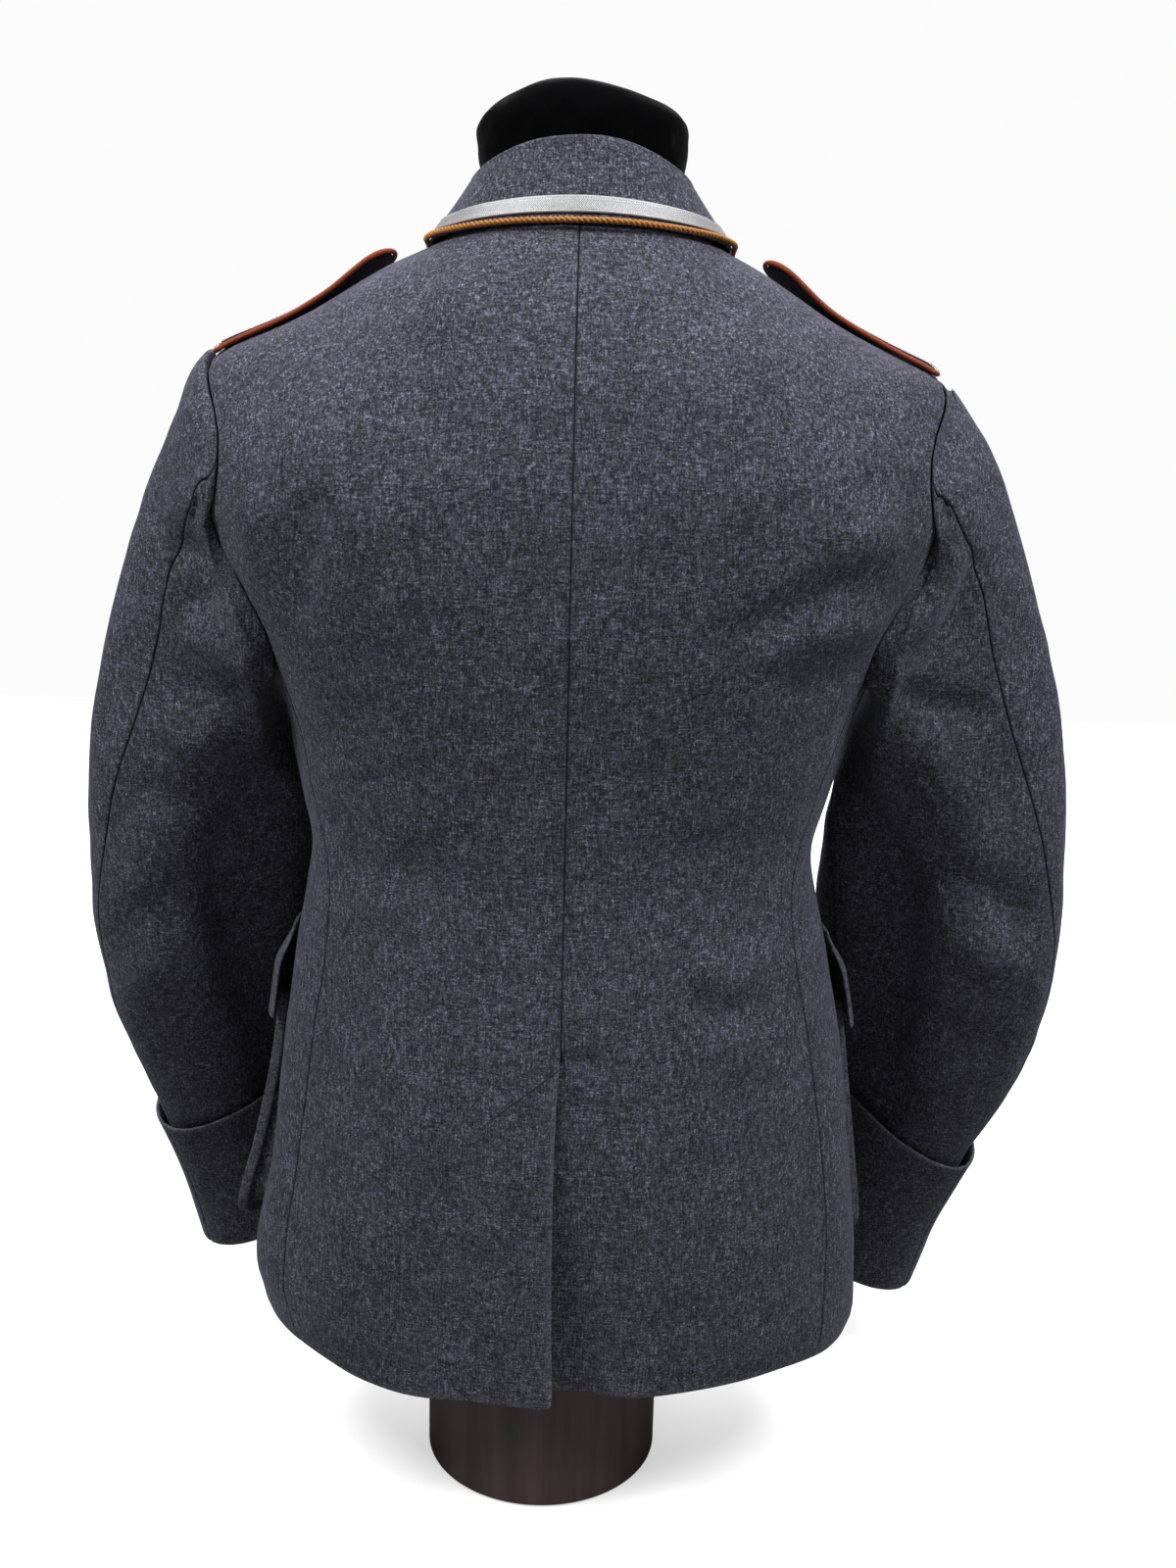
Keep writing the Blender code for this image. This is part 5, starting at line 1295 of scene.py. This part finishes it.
collar = {
    "foldHalfWidth": 0.0616, "foldBack": 0.0555, "foldFront": 0.066,
    "foldBackHeight": 0.8246, "foldSideHeight": 0.808, "foldFrontHeight": 0.762,
    "edgeHalfWidth": 0.0872, "edgeBack": 0.0715, "edgeFront": 0.092,
    "edgeBackHeight": 0.7803, "edgeSideHeight": 0.7749, "edgeFrontHeight": 0.701,
    "foldRadius": 0.0019, "foldFrom": 0.36, "foldTo": 0.5, "standHollow": 0.0016, "hollow": 0.0004,
    "power": 2.05, "inside": 0.0016, "above": 0.0018, "limit": 171.0, "point": 15.0,
    "lumps": (0.00028, 0.035, 41),
    "braidFrom": 0.845, "braidTo": 0.95, "braidThickness": 0.0009, "braidWeave": (0.0016, 0.0014, 0.00125),
    "cordRadius": 0.00165, "cordPitch": 0.0062,
    "flat": (0.46, 0.085), "area": 0.036, "braidFlat": (0.48, 0.011),
}


def collarRing(kind, angle):
    c, s = rounded(np.radians(angle), collar["power"])
    x = collar[kind + "HalfWidth"] * s
    y = np.where(c > 0, collar[kind + "Back"], collar[kind + "Front"]) * c
    rear, sideways, fore = (collar[kind + k + "Height"] for k in ("Back", "Side", "Front"))
    z = sideways + np.where(c > 0, (rear - sideways) * c ** 2, (fore - sideways) * np.abs(c) ** 1.45)
    return np.stack([x, y, z], -1)


def collarMiddle(angle, q):  # q runs up the stand, over the fold and down the fall
    angle, q = np.broadcast_arrays(np.asarray(angle, float), np.asarray(q, float))
    turn = np.radians(angle)
    outward = np.stack([np.sin(turn), np.cos(turn), 0 * turn], -1)
    c, s = rounded(turn, garment["neckPower"])
    inside, start, end = collar["inside"], collar["foldFrom"], collar["foldTo"]
    seam = np.stack([(neckline["half"] - inside) * s,
                     (np.where(c > 0, neckline["back"], neckline["front"]) - inside) * c,
                     necklineHeight(c) + collar["above"]], -1)
    fold, edge = collarRing("fold", angle), collarRing("edge", angle)
    r = collar["foldRadius"]
    t = np.clip(q / start, 0, 1)[..., None]
    stand = seam + (fold - outward * r - seam) * t - outward * collar["standHollow"] * np.sin(np.pi * t)
    around = np.clip((q - start) / (end - start), 0, 1) * np.pi
    over = fold - outward * (r * np.cos(around))[..., None] + [[0, 0, 1.0]] * (r * np.sin(around))[..., None]
    t = np.clip((q - end) / (1 - end), 0, 1)[..., None]
    outside = fold + outward * r
    fall = outside + (edge - outside) * t - outward * collar["hollow"] * np.sin(np.pi * t)
    q = q[..., None]
    return np.where(q < start, stand, np.where(q < end, over, fall))


def collarNormal(angle, q):
    a, b = 0.8, 0.01
    across = collarMiddle(angle + a, q) - collarMiddle(angle - a, q)
    along = collarMiddle(angle, np.clip(q + b, 0, 1)) - collarMiddle(angle, np.clip(q - b, 0, 1))
    return unit(np.cross(across, along))


def collarGrid(q, count):
    q = np.asarray(q, float)
    end = collar["limit"] - collar["point"] * np.clip((q - 0.5) / 0.5, 0, 1)
    at = np.linspace(-1, 1, count)
    return at[:, None] * end[None, :], np.repeat(q[None, :], count, 0)


def collarTop(angle, q, lift):  # on the outside of the cloth
    middle, normal = collarMiddle(angle, q), collarNormal(angle, q)
    height, size, seed = collar["lumps"]
    wave = height * unevenness(middle, size, seed)
    return middle + normal * (garment["wall"] / 2 + wave + lift)[..., None], normal


def makeCollar():
    q = np.concatenate([np.linspace(0, 0.35, 12), np.linspace(0.36, 0.5, 13), np.linspace(0.515, 0.955, 24),
                        [0.965, 0.975, 0.984, 0.991, 0.996, 1.0]])
    outer, normal = collarTop(*collarGrid(q, 220), 0.0)
    edges = [(outer[:, -1], "free"), (outer[0, :], "free"), (outer[-1, :], "free")]
    piece = woolPiece("collarCloth", "collar", outer, normal, edges, flip=True)


def braidRelief(u, v, width, weave):  # woven ridges of a flat braid, in metres
    rows, dot, chevron = weave
    across = np.abs(v - width / 2)
    middle = 1 - ease(across, width / 2 - rows * 1.55, width / 2 - rows * 1.35)
    ridge = np.abs(np.mod(u / chevron + across / (chevron * 1.05), 1.0) - 0.5) * 2
    line = np.exp(-((across - (width / 2 - rows)) / 0.00022) ** 2)
    dots = 0.5 + 0.5 * np.sin(2 * np.pi * u / dot)
    edge = 1 - ease(np.minimum(v, width - v), 0.0, 0.0007)
    return -0.00016 * middle * ridge - 0.0003 * line * (0.35 + 0.65 * dots) - 0.00035 * edge


def braidWall(name, node, outer, inner, uv, material):  # closed: fine outside, plain inside
    rows, cols = outer.shape[:2]
    a = np.arange(rows * cols).reshape(rows, cols)
    b = rows * cols + np.arange(rows * 2).reshape(rows, 2)
    faces = np.stack([a[:-1, :-1], a[:-1, 1:], a[1:, 1:], a[1:, :-1]], -1).reshape(-1, 4).tolist()
    faces += np.stack([b[1:, 0], b[1:, 1], b[:-1, 1], b[:-1, 0]], -1).tolist()
    faces += np.stack([a[1:, 0], b[1:, 0], b[:-1, 0], a[:-1, 0]], -1).tolist()
    faces += np.stack([a[:-1, -1], b[:-1, 1], b[1:, 1], a[1:, -1]], -1).tolist()
    faces.append([b[0, 0], b[0, 1]] + a[0, ::-1].tolist())
    faces.append([b[-1, 1], b[-1, 0]] + a[-1].tolist())
    points = np.concatenate([outer.reshape(-1, 3), inner.reshape(-1, 3)])
    maps = np.concatenate([uv.reshape(-1, 2), uv[:, [0, -1]].reshape(-1, 2)])
    return finishPiece(addMesh(name, points, faces, material, None, maps), "silver_braid", node)


def makeCollarBraid():
    count, cells = 1300, 26
    q = np.linspace(collar["braidFrom"], collar["braidTo"], cells)
    angle, q = collarGrid(q, count)
    low, normal = collarTop(angle, q, garment["gap"])
    u = lengths(low[:, cells // 2])
    v = np.concatenate([np.zeros((count, 1)), np.cumsum(np.linalg.norm(np.diff(low, axis=1), axis=2), 1)], 1)
    width = v[:, -1:].mean()
    v = v * width / v[:, -1:]
    u = np.repeat(u[:, None], cells, 1)
    woven = braidRelief(u, v, width, collar["braidWeave"])
    outer = low + normal * (collar["braidThickness"] + woven)[..., None]
    silver = makeSilver("silverCollarBraid", width, collar["braidWeave"])
    outer, inner, maps = place(outer), place(low[:, [0, -1]]), np.stack([u, v], -1)
    piece = braidWall("collarBraid", "collar_braid", outer, inner, maps, silver)


def twistedCord(path, normal, radius, pitch, plies=2, rings=11):  # strands laid round one another
    path = resample(np.concatenate([path, normal * 0.001], 1), pitch / rings)
    path, normal = path[:, :3], unit(path[:, 3:])
    along = unit(np.gradient(path, axis=0))
    side = unit(np.cross(along, normal))
    normal = np.cross(side, along)
    made = []
    for k in range(plies):
        t = 2 * np.pi * (lengths(path) / pitch + k / plies)
        made.append(path + radius * 0.52 * (np.cos(t)[:, None] * normal + np.sin(t)[:, None] * side))
    return ridgeTube(made, radius * 0.56, 8, 0.5)


def makeCollarCord():
    angle, q = collarGrid([1.0], 400)
    top, normal = collarTop(angle, q, garment["gap"] + collar["cordRadius"])
    verts, faces = twistedCord(top[:, 0], normal[:, 0], collar["cordRadius"], collar["cordPitch"])
    piece = addMesh("collarCord", place(verts), faces, cordSilk, {"seamShade": np.zeros(len(verts))})
    finishPiece(piece, "tan_cord", "collar_cord")


makeCollar()
makeCollarBraid()
makeCollarCord()
print("collar made")


# shoulder boards

board = {
    "length": 0.12, "start": 0.104, "height": 0.763, "slope": 0.5, "rightMore": 0.04,
    "twistIn": 0.1, "twistOut": {1: 0.07, -1: 0.1}, "curl": 0.0024, "rest": 0.0003, "stand": 0.0042,
    "width": 0.044, "thickness": 0.0032, "piping": 0.0015, "margin": 0.0065, "corner": 0.004,
    "edgeRound": 0.0009,
    "braidFlat": (0.032, 0.11), "braidWeave": (0.0042, 0.0016, 0.0022), "braidCells": (250, 44),
    "threads": 5, "threadPitch": 0.008, "threadRadius": 0.00035, "buttonRadius": 0.008,
}


def boardFrame(side):  # the straight line that each board is bent from
    slope = board["slope"] + (1 - side) / 2 * board["rightMore"]
    along = unit(np.array([1.0, 0.0, -slope]))
    up = np.array([-along[2], 0, along[0]])
    middle = np.array([board["start"], 0.0, board["height"]]) + along * board["length"] / 2
    mirror = np.array([side, 1.0, 1.0])
    return place(middle * mirror), along * mirror, np.array([0, 1.0, 0]), up * mirror


def boardLean(s, y, side):  # the rear edge stands up at the neck end, and both edges hug the sleeve
    t = s / (board["length"] / 2)
    curl = board["curl"] * np.clip(t, 0, 1.1) * (y / (board["width"] / 2)) ** 2
    return np.where(t < 0, -board["twistIn"] * t, -board["twistOut"][side] * t) * y - curl


def boardBed(side):  # how high the board has to lie along its length to clear the shoulder
    middle, along, across, up = boardFrame(side)
    angle, level = np.meshgrid(np.arange(50.0, 132.0, 1.5), np.linspace(1.44, 1.99, 150))
    cloth = place(onTrunk(angle.ravel(), level.ravel(), side)) - middle
    s, y = cloth @ along, cloth @ across
    need = cloth @ up - boardLean(s, y, side)
    at = np.linspace(-0.52, 0.52, 42) * board["length"]
    under = np.abs(y) < board["width"] / 2
    high = [need[under & (np.abs(s - spot) < 0.0018)].max() for spot in at]
    stand = board["stand"] * ease(-at / board["length"], 0.1, 0.52) + board["rest"]
    return at, np.convolve(np.pad(high, 2, "edge"), np.ones(5) / 5, "valid") + garment["gap"] + stand


boardBeds = {side: boardBed(side) for side in (1, -1)}


def boardOutline(grow, count=40, corners=6):
    half, wide = board["length"] / 2 + grow, board["width"] / 2 + grow
    r = board["corner"]
    turns = np.linspace(np.pi / 2, 3 * np.pi / 2, count)
    outline = [(-half + wide * 0.8 + wide * 0.8 * math.cos(t), wide * math.sin(t)) for t in turns]
    for cx, cy, first in ((half - r, -wide + r, -np.pi / 2), (half - r, wide - r, 0.0)):
        for t in np.linspace(first, first + np.pi / 2, corners):
            outline.append((cx + r * math.cos(t), cy + r * math.sin(t)))
    return np.array(outline)


def boardPoint(side, spot, height):
    middle, along, across, up = boardFrame(side)
    spot = np.asarray(spot, float)
    s, y = spot[..., 0], spot[..., 1]
    rise = np.asarray(height) + smooth(s, *boardBeds[side]) + boardLean(s, y, side)
    return middle + s[..., None] * along + y[..., None] * across + rise[..., None] * up


def boardOut(side, spot):  # straight up out of the bent board
    a, b = (boardPoint(side, spot + step, 0.0) - boardPoint(side, spot - step, 0.0)
            for step in (np.array([0.002, 0]), np.array([0, 0.002])))
    return unit(np.cross(a, b)) * side


def makeBoard(side, tag):
    outline = boardOutline(-2 * board["piping"])
    ring = resample(np.concatenate([outline, outline[:1]]), 0.0016)[:-1]
    middle = np.array([board["length"] * 0.02, 0.0])
    t, turn = board["thickness"], board["edgeRound"]
    low = [(scale, 0.0) for scale in (0.0, 0.2, 0.4, 0.6, 0.8, 0.9, 0.975)] + [(0.992, turn / 3), (1.0, turn)]
    section = low + [(1.0, 0.5 * t)] + [(scale, t - height) for scale, height in low[::-1]]
    points = np.stack([boardPoint(side, middle + (ring - middle) * scale, np.full(len(ring), height))
                       for scale, height in section])
    rows, cols = points.shape[:2]
    faces = aroundFaces(rows, cols)
    faces = faces if side > 0 else faces[:, ::-1]
    wear = np.zeros((rows, cols))
    wear[7:12] = 1.0
    piece = addMesh("shoulderBoard" + tag, points.reshape(-1, 3), faces, strapCloth,
                    {"wear": wear.ravel(), "seamShade": np.zeros(rows * cols)})
    closeDoubles(piece)
    finishPiece(piece, "board_cloth", "shoulder_board_" + tag.lower())

    rim = boardOutline(-board["piping"] + garment["gap"])
    path = resample(np.concatenate([rim[-6:], rim[:-6]]), 0.0011)
    spots = boardPoint(side, path, np.full(len(path), t - board["piping"]))
    verts, faces = ridgeTube([spots], board["piping"], 14, 0.6)
    piece = addMesh("boardPiping" + tag, verts, faces, pipingCloth, {"seamShade": np.zeros(len(verts))})
    finishPiece(piece, "orange_piping", "board_piping_" + tag.lower())
    makeBoardBraid(side, tag)


def closeDoubles(piece):  # merges the points that meet at a pole
    choose(piece)
    bpy.ops.object.mode_set(mode="EDIT")
    bpy.ops.mesh.select_all(action="SELECT")
    bpy.ops.mesh.remove_doubles(threshold=0.00002)
    bpy.ops.mesh.dissolve_degenerate(threshold=0.00001)
    bpy.ops.mesh.normals_make_consistent(inside=False)
    bpy.ops.object.mode_set(mode="OBJECT")


def makeBoardBraid(side, tag):
    rows, cells = board["braidCells"]
    wide = board["width"] / 2 - board["margin"]
    half = board["length"] / 2 - board["margin"]
    x = np.linspace(-half, half, rows)
    r = wide * 0.8
    reach = np.where(x < -half + r, wide * np.sqrt(np.clip(1 - ((x + half - r) / r) ** 2, 0.0004, 1)), wide)
    v = np.linspace(-1, 1, cells)
    spots = np.stack([np.repeat(x[:, None], cells, 1), reach[:, None] * v[None, :]], -1)
    flat = board["thickness"] + garment["gap"]
    u, w = spots[..., 0] + half, spots[..., 1] + wide
    woven = braidRelief(u, w, 2 * wide, board["braidWeave"])
    outer = boardPoint(side, spots, flat + collar["braidThickness"] + woven)
    inner = boardPoint(side, spots[:, [0, -1]], np.full((rows, 2), flat))
    if side > 0:
        outer, inner, u, w = outer[:, ::-1], inner[:, ::-1], u[:, ::-1], w[:, ::-1]
    node = "board_braid_" + tag.lower()
    piece = braidWall("boardBraid" + tag, node, outer, inner, np.stack([u, w], -1), boardSilver)


boardSilver = makeSilver("silverBoardBraid", board["width"] - 2 * board["margin"], board["braidWeave"])
for side, tag in ((1, "Left"), (-1, "Right")):
    makeBoard(side, tag)


def endThreads():  # the few white threads that hold each board's outer end
    rows = []
    for side in (1, -1):
        for k in range(board["threads"]):
            y = -0.016 + board["threadPitch"] * k
            x = board["length"] / 2 - 0.0005
            a = boardPoint(side, np.array([x - 0.004, y]), np.array(board["thickness"] + 0.0008))
            b = boardPoint(side, np.array([x + 0.0012, y + 0.001]), np.array(board["thickness"] * 0.5))
            line = np.stack([a, (a + b) / 2 + boardOut(side, np.array([x, y])) * 0.0009, b])
            rows.append(softened(line, 8))
    return rows


verts, faces = ridgeTube(endThreads(), board["threadRadius"], 6, 0.5)
finishPiece(addMesh("boardEndThreads", verts, faces, whiteThread), "silver_braid")
print("shoulder boards made")


# buttons, turned by hand from a circle and copied

button = {"profile": [(0.004, 0.0), (0.0085, 0.0006), (0.0098, 0.0016), (0.0104, 0.0024), (0.0105, 0.003),
                      (0.0102, 0.0036), (0.0094, 0.0038), (0.0088, 0.0041), (0.0078, 0.0056), (0.006, 0.0063),
                      (0.004, 0.0067), (0.0018, 0.0069)],
          "boardProfile": [(0.007, 0.0), (0.0078, 0.0002), (0.008, 0.0005), (0.0078, 0.0009), (0.0068, 0.0012),
                           (0.005, 0.0015), (0.003, 0.0017), (0.0014, 0.00178)],
          "sides": 40}


def turnedButton(name, profile):
    bpy.ops.object.select_all(action="DESELECT")
    bpy.ops.mesh.primitive_circle_add(vertices=button["sides"], radius=profile[0][0], fill_type="NGON")
    made = bpy.context.object
    made.name = name
    bpy.ops.object.mode_set(mode="EDIT")
    bpy.ops.mesh.select_mode(type="FACE")
    bpy.ops.mesh.select_all(action="SELECT")
    for (r0, z0), (r1, z1) in zip(profile[:-1], profile[1:]):
        bpy.ops.mesh.extrude_region_move(TRANSFORM_OT_translate={"value": (0, 0, z1 - z0)})
        bpy.ops.transform.resize(value=(r1 / r0, r1 / r0, 1), center_override=(0, 0, z1))
    bpy.ops.mesh.poke()
    bpy.ops.mesh.select_mode(type="EDGE")
    bpy.ops.mesh.select_all(action="DESELECT")
    bpy.ops.mesh.select_non_manifold()
    bpy.ops.mesh.edge_face_add()
    bpy.ops.mesh.select_all(action="SELECT")
    bpy.ops.mesh.normals_make_consistent(inside=False)
    bpy.ops.object.mode_set(mode="OBJECT")
    choose(made)
    bpy.ops.object.shade_smooth_by_angle(angle=math.radians(50))
    made.data.materials.append(buttonMetal)
    return made


def placedCopy(master, name, centre, axis, node):
    made = master.copy()
    made.data = master.data.copy()
    made.name = name
    bpy.context.scene.collection.objects.link(made)
    turn = Vector(axis).to_track_quat("Z", "Y").to_matrix().to_4x4()
    made.data.transform(Matrix.Translation(Vector(centre)) @ turn)
    made.matrix_world = Matrix.Identity(4)
    return finishPiece(made, "button_metal", node)


frontMaster = turnedButton("frontButtonMaster", button["profile"])
for number, height in enumerate(front["buttonHeights"]):
    level = buttonLevel(height)
    normal = trunkNormal(np.array(180.0), np.array(level), 1)
    centre = place(onTrunk(180.0, level, 1) + normal * (garment["wall"] + garment["gap"] * 3.6))
    placedCopy(frontMaster, "frontButton%d" % (number + 1), centre, normal, "front_button_%d" % (number + 1))
boardMaster = turnedButton("boardButtonMaster", button["boardProfile"])
for side, tag in ((1, "Left"), (-1, "Right")):
    top = board["thickness"] + 2 * garment["gap"] + collar["braidThickness"]
    spot = np.array([board["margin"] + board["buttonRadius"] - board["length"] / 2, 0.0])
    placedCopy(boardMaster, "boardButton" + tag, boardPoint(side, spot, np.array(top)), boardOut(side, spot),
               "board_button_" + tag.lower())
for master in (frontMaster, boardMaster):
    bpy.data.objects.remove(master)
print("buttons made")


# the form

form = {
    "levels": 70, "turns": 96, "foot": 0.185, "drop": 0.0012,
    "inset": ([0.0, 0.6, 1.0, 1.5, 1.8, 2.0], [0.014, 0.0085, 0.009, 0.0075, 0.004, 0.0036]),
    "baseRadius": 0.0762, "baseSides": 128, "baseBevel": 0.0024, "baseInset": 0.006,
    "neckHalfWidth": 0.0608, "neckHalfDepth": 0.053, "neckCrown": 0.012, "neckFoot": 0.8, "neckBend": 0.828,
    "neckFalls": (0.26, 0.14), "neckFall": 1.35, "neckRound": 0.02, "puckers": (0.0005, 0.016, 51),
    "crownRings": (0.82, 0.6, 0.35, 0.15),
    "neckHeight": [0.796, 0.803, 0.813, 0.825, 0.84, 0.849, 0.8565, 0.8605],
    "neckWidth": [0.95, 0.955, 0.962, 0.995, 1.0, 0.975, 0.875, 0.68],
}


def torsoRings(levels, turns):
    rings = []
    for level in levels:
        inset = float(np.interp(level, *form["inset"]))
        sides = [(a, 1) if a <= 180 else (360 - a, -1) for a in turns]
        rings.append([trunkBase(angle, level, side, inset) * [side, 1, 1] for angle, side in sides])
    rings = np.array(rings)
    rings[:, :, 2] -= np.where(np.array(levels) > 1, form["drop"], 0.0)[:, None]
    return rings


def loftSolid(name, rings, low, high, material, slot, node):
    count, n = rings.shape[:2]
    faces = []
    for i in range(count - 1):
        for j in range(n):
            a, b = i * n + j, i * n + (j + 1) % n
            faces.append((a, a + n, b + n, b))
    bottom, top, last = count * n, count * n + 1, (count - 1) * n
    for j in range(n):
        faces.append((bottom, j, (j + 1) % n))
        faces.append((top, last + (j + 1) % n, last + j))
    piece = addMesh(name, place(np.concatenate([rings.reshape(-1, 3), [low, high]])), faces, material)
    return finishPiece(piece, slot, node)


def makeTorso():
    levels = np.linspace(0.18, 2.0, form["levels"])
    rings = torsoRings(levels, np.arange(0, 360, 360 / form["turns"]))
    rings[0, :, 2] = form["foot"]
    loftSolid("formTorso", rings, rings[0].mean(0), rings[-1].mean(0), shellFinish, "form_shell", "form_torso")


def makeNeck():
    turnsDeg = np.arange(0, 360, 3.0)
    top = torsoRings([2.0], turnsDeg)[0]
    foot = top.mean(0) + (top - top.mean(0)) * form["neckFoot"] + [0, 0, garment["gap"]]
    turns = np.radians(turnsDeg)
    rings = [foot]
    heights = np.linspace(form["neckHeight"][0], form["neckHeight"][-1], 40)
    for z in heights:
        w = float(smooth(z, form["neckHeight"], form["neckWidth"]))
        x, y = form["neckHalfWidth"] * w * np.sin(turns), form["neckHalfDepth"] * w * np.cos(turns)
        raised = max(0.0, (z - form["neckBend"]) / (form["neckHeight"][-1] - form["neckBend"]))
        right, left = form["neckFalls"]
        off, r = x - form["neckCrown"], form["neckRound"]
        away = np.where(off > 0, right, left) * (np.sqrt(off ** 2 + r ** 2) - r) * form["neckFall"]
        rings.append(np.stack([x, y - 0.001, z - raised * away], -1))
    last = rings[-1]
    crown = np.array([form["neckCrown"], 0.0, form["neckHeight"][-1] + 0.0012])
    for t in form["crownRings"]:
        ring = crown + (last - crown) * t
        ring[:, 2] = crown[2] + (last[:, 2] - crown[2]) * (t ** 1.7)
        rings.append(ring)
    rings = np.array(rings)
    height, size, seed = form["puckers"]
    puckers = height * unevenness(rings, size, seed) * ease(rings[..., 2], 0.812, 0.83)
    rings = rings + unit(rings - rings.mean(axis=1, keepdims=True)) * puckers[..., None]
    loftSolid("formNeck", rings, foot.mean(0), crown, neckVelvet, "velvet", "form_neck")


def makeBase():
    r, tall = form["baseRadius"], form["foot"] - garment["gap"]
    bpy.ops.object.select_all(action="DESELECT")
    bpy.ops.mesh.primitive_cylinder_add(vertices=form["baseSides"], radius=r, depth=tall,
                                        location=(0, 0, tall / 2))
    made = bpy.context.object
    made.name = "formBase"
    bpy.ops.object.transform_apply(location=True, rotation=False, scale=False)
    bpy.ops.object.mode_set(mode="EDIT")
    bpy.ops.mesh.select_mode(type="EDGE")
    bpy.ops.mesh.select_all(action="DESELECT")
    bpy.ops.object.mode_set(mode="OBJECT")
    for edge in made.data.edges:
        edge.select = all(made.data.vertices[v].co.z < 0.001 for v in edge.vertices)
    bpy.ops.object.mode_set(mode="EDIT")
    bpy.ops.mesh.bevel(offset=form["baseBevel"], offset_type="OFFSET", segments=5, profile=0.5)
    bpy.ops.mesh.select_mode(type="FACE")
    bpy.ops.mesh.select_all(action="DESELECT")
    bpy.ops.object.mode_set(mode="OBJECT")
    for face in made.data.polygons:
        face.select = face.normal.z > 0.99 and len(face.vertices) > 8
    bpy.ops.object.mode_set(mode="EDIT")
    bpy.ops.mesh.inset(thickness=form["baseInset"])
    bpy.ops.object.mode_set(mode="OBJECT")
    choose(made)
    bpy.ops.object.shade_smooth_by_angle(angle=math.radians(35))
    made.data.materials.append(shellFinish)
    finishPiece(made, "form_shell", "form_base")


makeTorso()
makeNeck()
makeBase()
print("form made")


# floor, lights and camera

studio = {
    "lens": 36.405, "camera": (-0.021, 0.964, 0.67), "pitch": 12.5, "roll": 1.43,
    "worldRear": 0.27, "worldNear": 0.2, "shown": 0.97,
    "floor": (0.52, 0.52, 0.52), "floorGlow": (0.2, 0.2, 0.2), "floorPale": 1.1, "floorSize": 9,
    "lights": [("leftSoftbox", (1.25, 0.75, 2.48), (0.0, 0.0, 0.5), 0.9, 75.0),
               ("rightSoftbox", (-1.25, 0.75, 2.48), (0.0, 0.0, 0.5), 0.9, 74.0),
               ("wallLamp", (0.0, -3.2, 2.6), (0.0, -3.0, 0.0), 3.0, 170.0)],
}


def makeStudio():
    bpy.ops.object.select_all(action="DESELECT")
    bpy.ops.mesh.primitive_plane_add(size=studio["floorSize"], location=(0, 1.6, -0.0005))
    floor = bpy.context.object
    floor.name = "paleFloor"
    paper = Finish("paleFloorPaper", {"Roughness": 0.9, "Specular IOR Level": 0.1})
    soft = paper.span(paper.noise(0.4, 2.0), 0.3, 0.7)
    shown = paper.blend(soft, studio["floor"], tuple(v * 0.985 for v in studio["floor"]))
    # pale to look at, with little glow upward
    seen = paper.node("ShaderNodeLightPath", None, None, "Is Camera Ray")
    paper.wear(Base_Color=paper.blend(seen, studio["floorGlow"], shown),
               Emission_Color=paper.blend(seen, (0.0, 0.0, 0.0), studio["floor"]))
    paper.shader.inputs["Emission Strength"].default_value = studio["floorPale"]
    floor.data.materials.append(paper.material)
    for name, at, aim, size, power in studio["lights"]:
        lamp = bpy.data.lights.new(name, "AREA")
        lamp.size, lamp.energy = size, power
        made = bpy.data.objects.new(name, lamp)
        made.location = at
        made.rotation_euler = (Vector(aim) - Vector(at)).to_track_quat("-Z", "Y").to_euler()
        bpy.context.scene.collection.objects.link(made)
    world = bpy.data.worlds.new("whiteRoom")
    world.use_nodes = True
    room = Surround(world)
    way = room.node("ShaderNodeTexCoord", None, None, "Generated")
    rear = room.node("ShaderNodeSeparateXYZ", None, [way], 1)  # the wall behind the garment is the bright one
    seen = room.node("ShaderNodeLightPath", None, None, "Is Camera Ray")  # the wall looks whiter than it shines
    shine = room.span(rear, 0.1, -0.7, (studio["worldNear"], studio["worldRear"]))
    room.light(shine * (1 - seen) + seen * studio["shown"])
    bpy.context.scene.world = world
    bpy.context.scene.view_settings.view_transform = "Standard"


def makeCamera():
    pitch, tilt = math.radians(studio["pitch"]), math.radians(studio["roll"])
    ahead = Vector((0, -math.cos(pitch), -math.sin(pitch)))
    right0, up0 = Vector((-1, 0, 0)), Vector((0, -math.sin(pitch), math.cos(pitch)))
    right = right0 * math.cos(tilt) + up0 * math.sin(tilt)
    up = up0 * math.cos(tilt) - right0 * math.sin(tilt)
    data = bpy.data.cameras.new("camera")
    data.sensor_width, data.sensor_fit, data.lens = 36.0, "AUTO", studio["lens"]
    data.clip_start, data.clip_end = 0.02, 50
    made = bpy.data.objects.new("camera", data)
    turn = Matrix((right, up, -ahead)).transposed().to_4x4()
    made.matrix_world = Matrix.Translation(Vector(studio["camera"])) @ turn
    bpy.context.scene.collection.objects.link(made)
    bpy.context.scene.camera = made


makeStudio()
makeCamera()
bpy.context.view_layer.update()
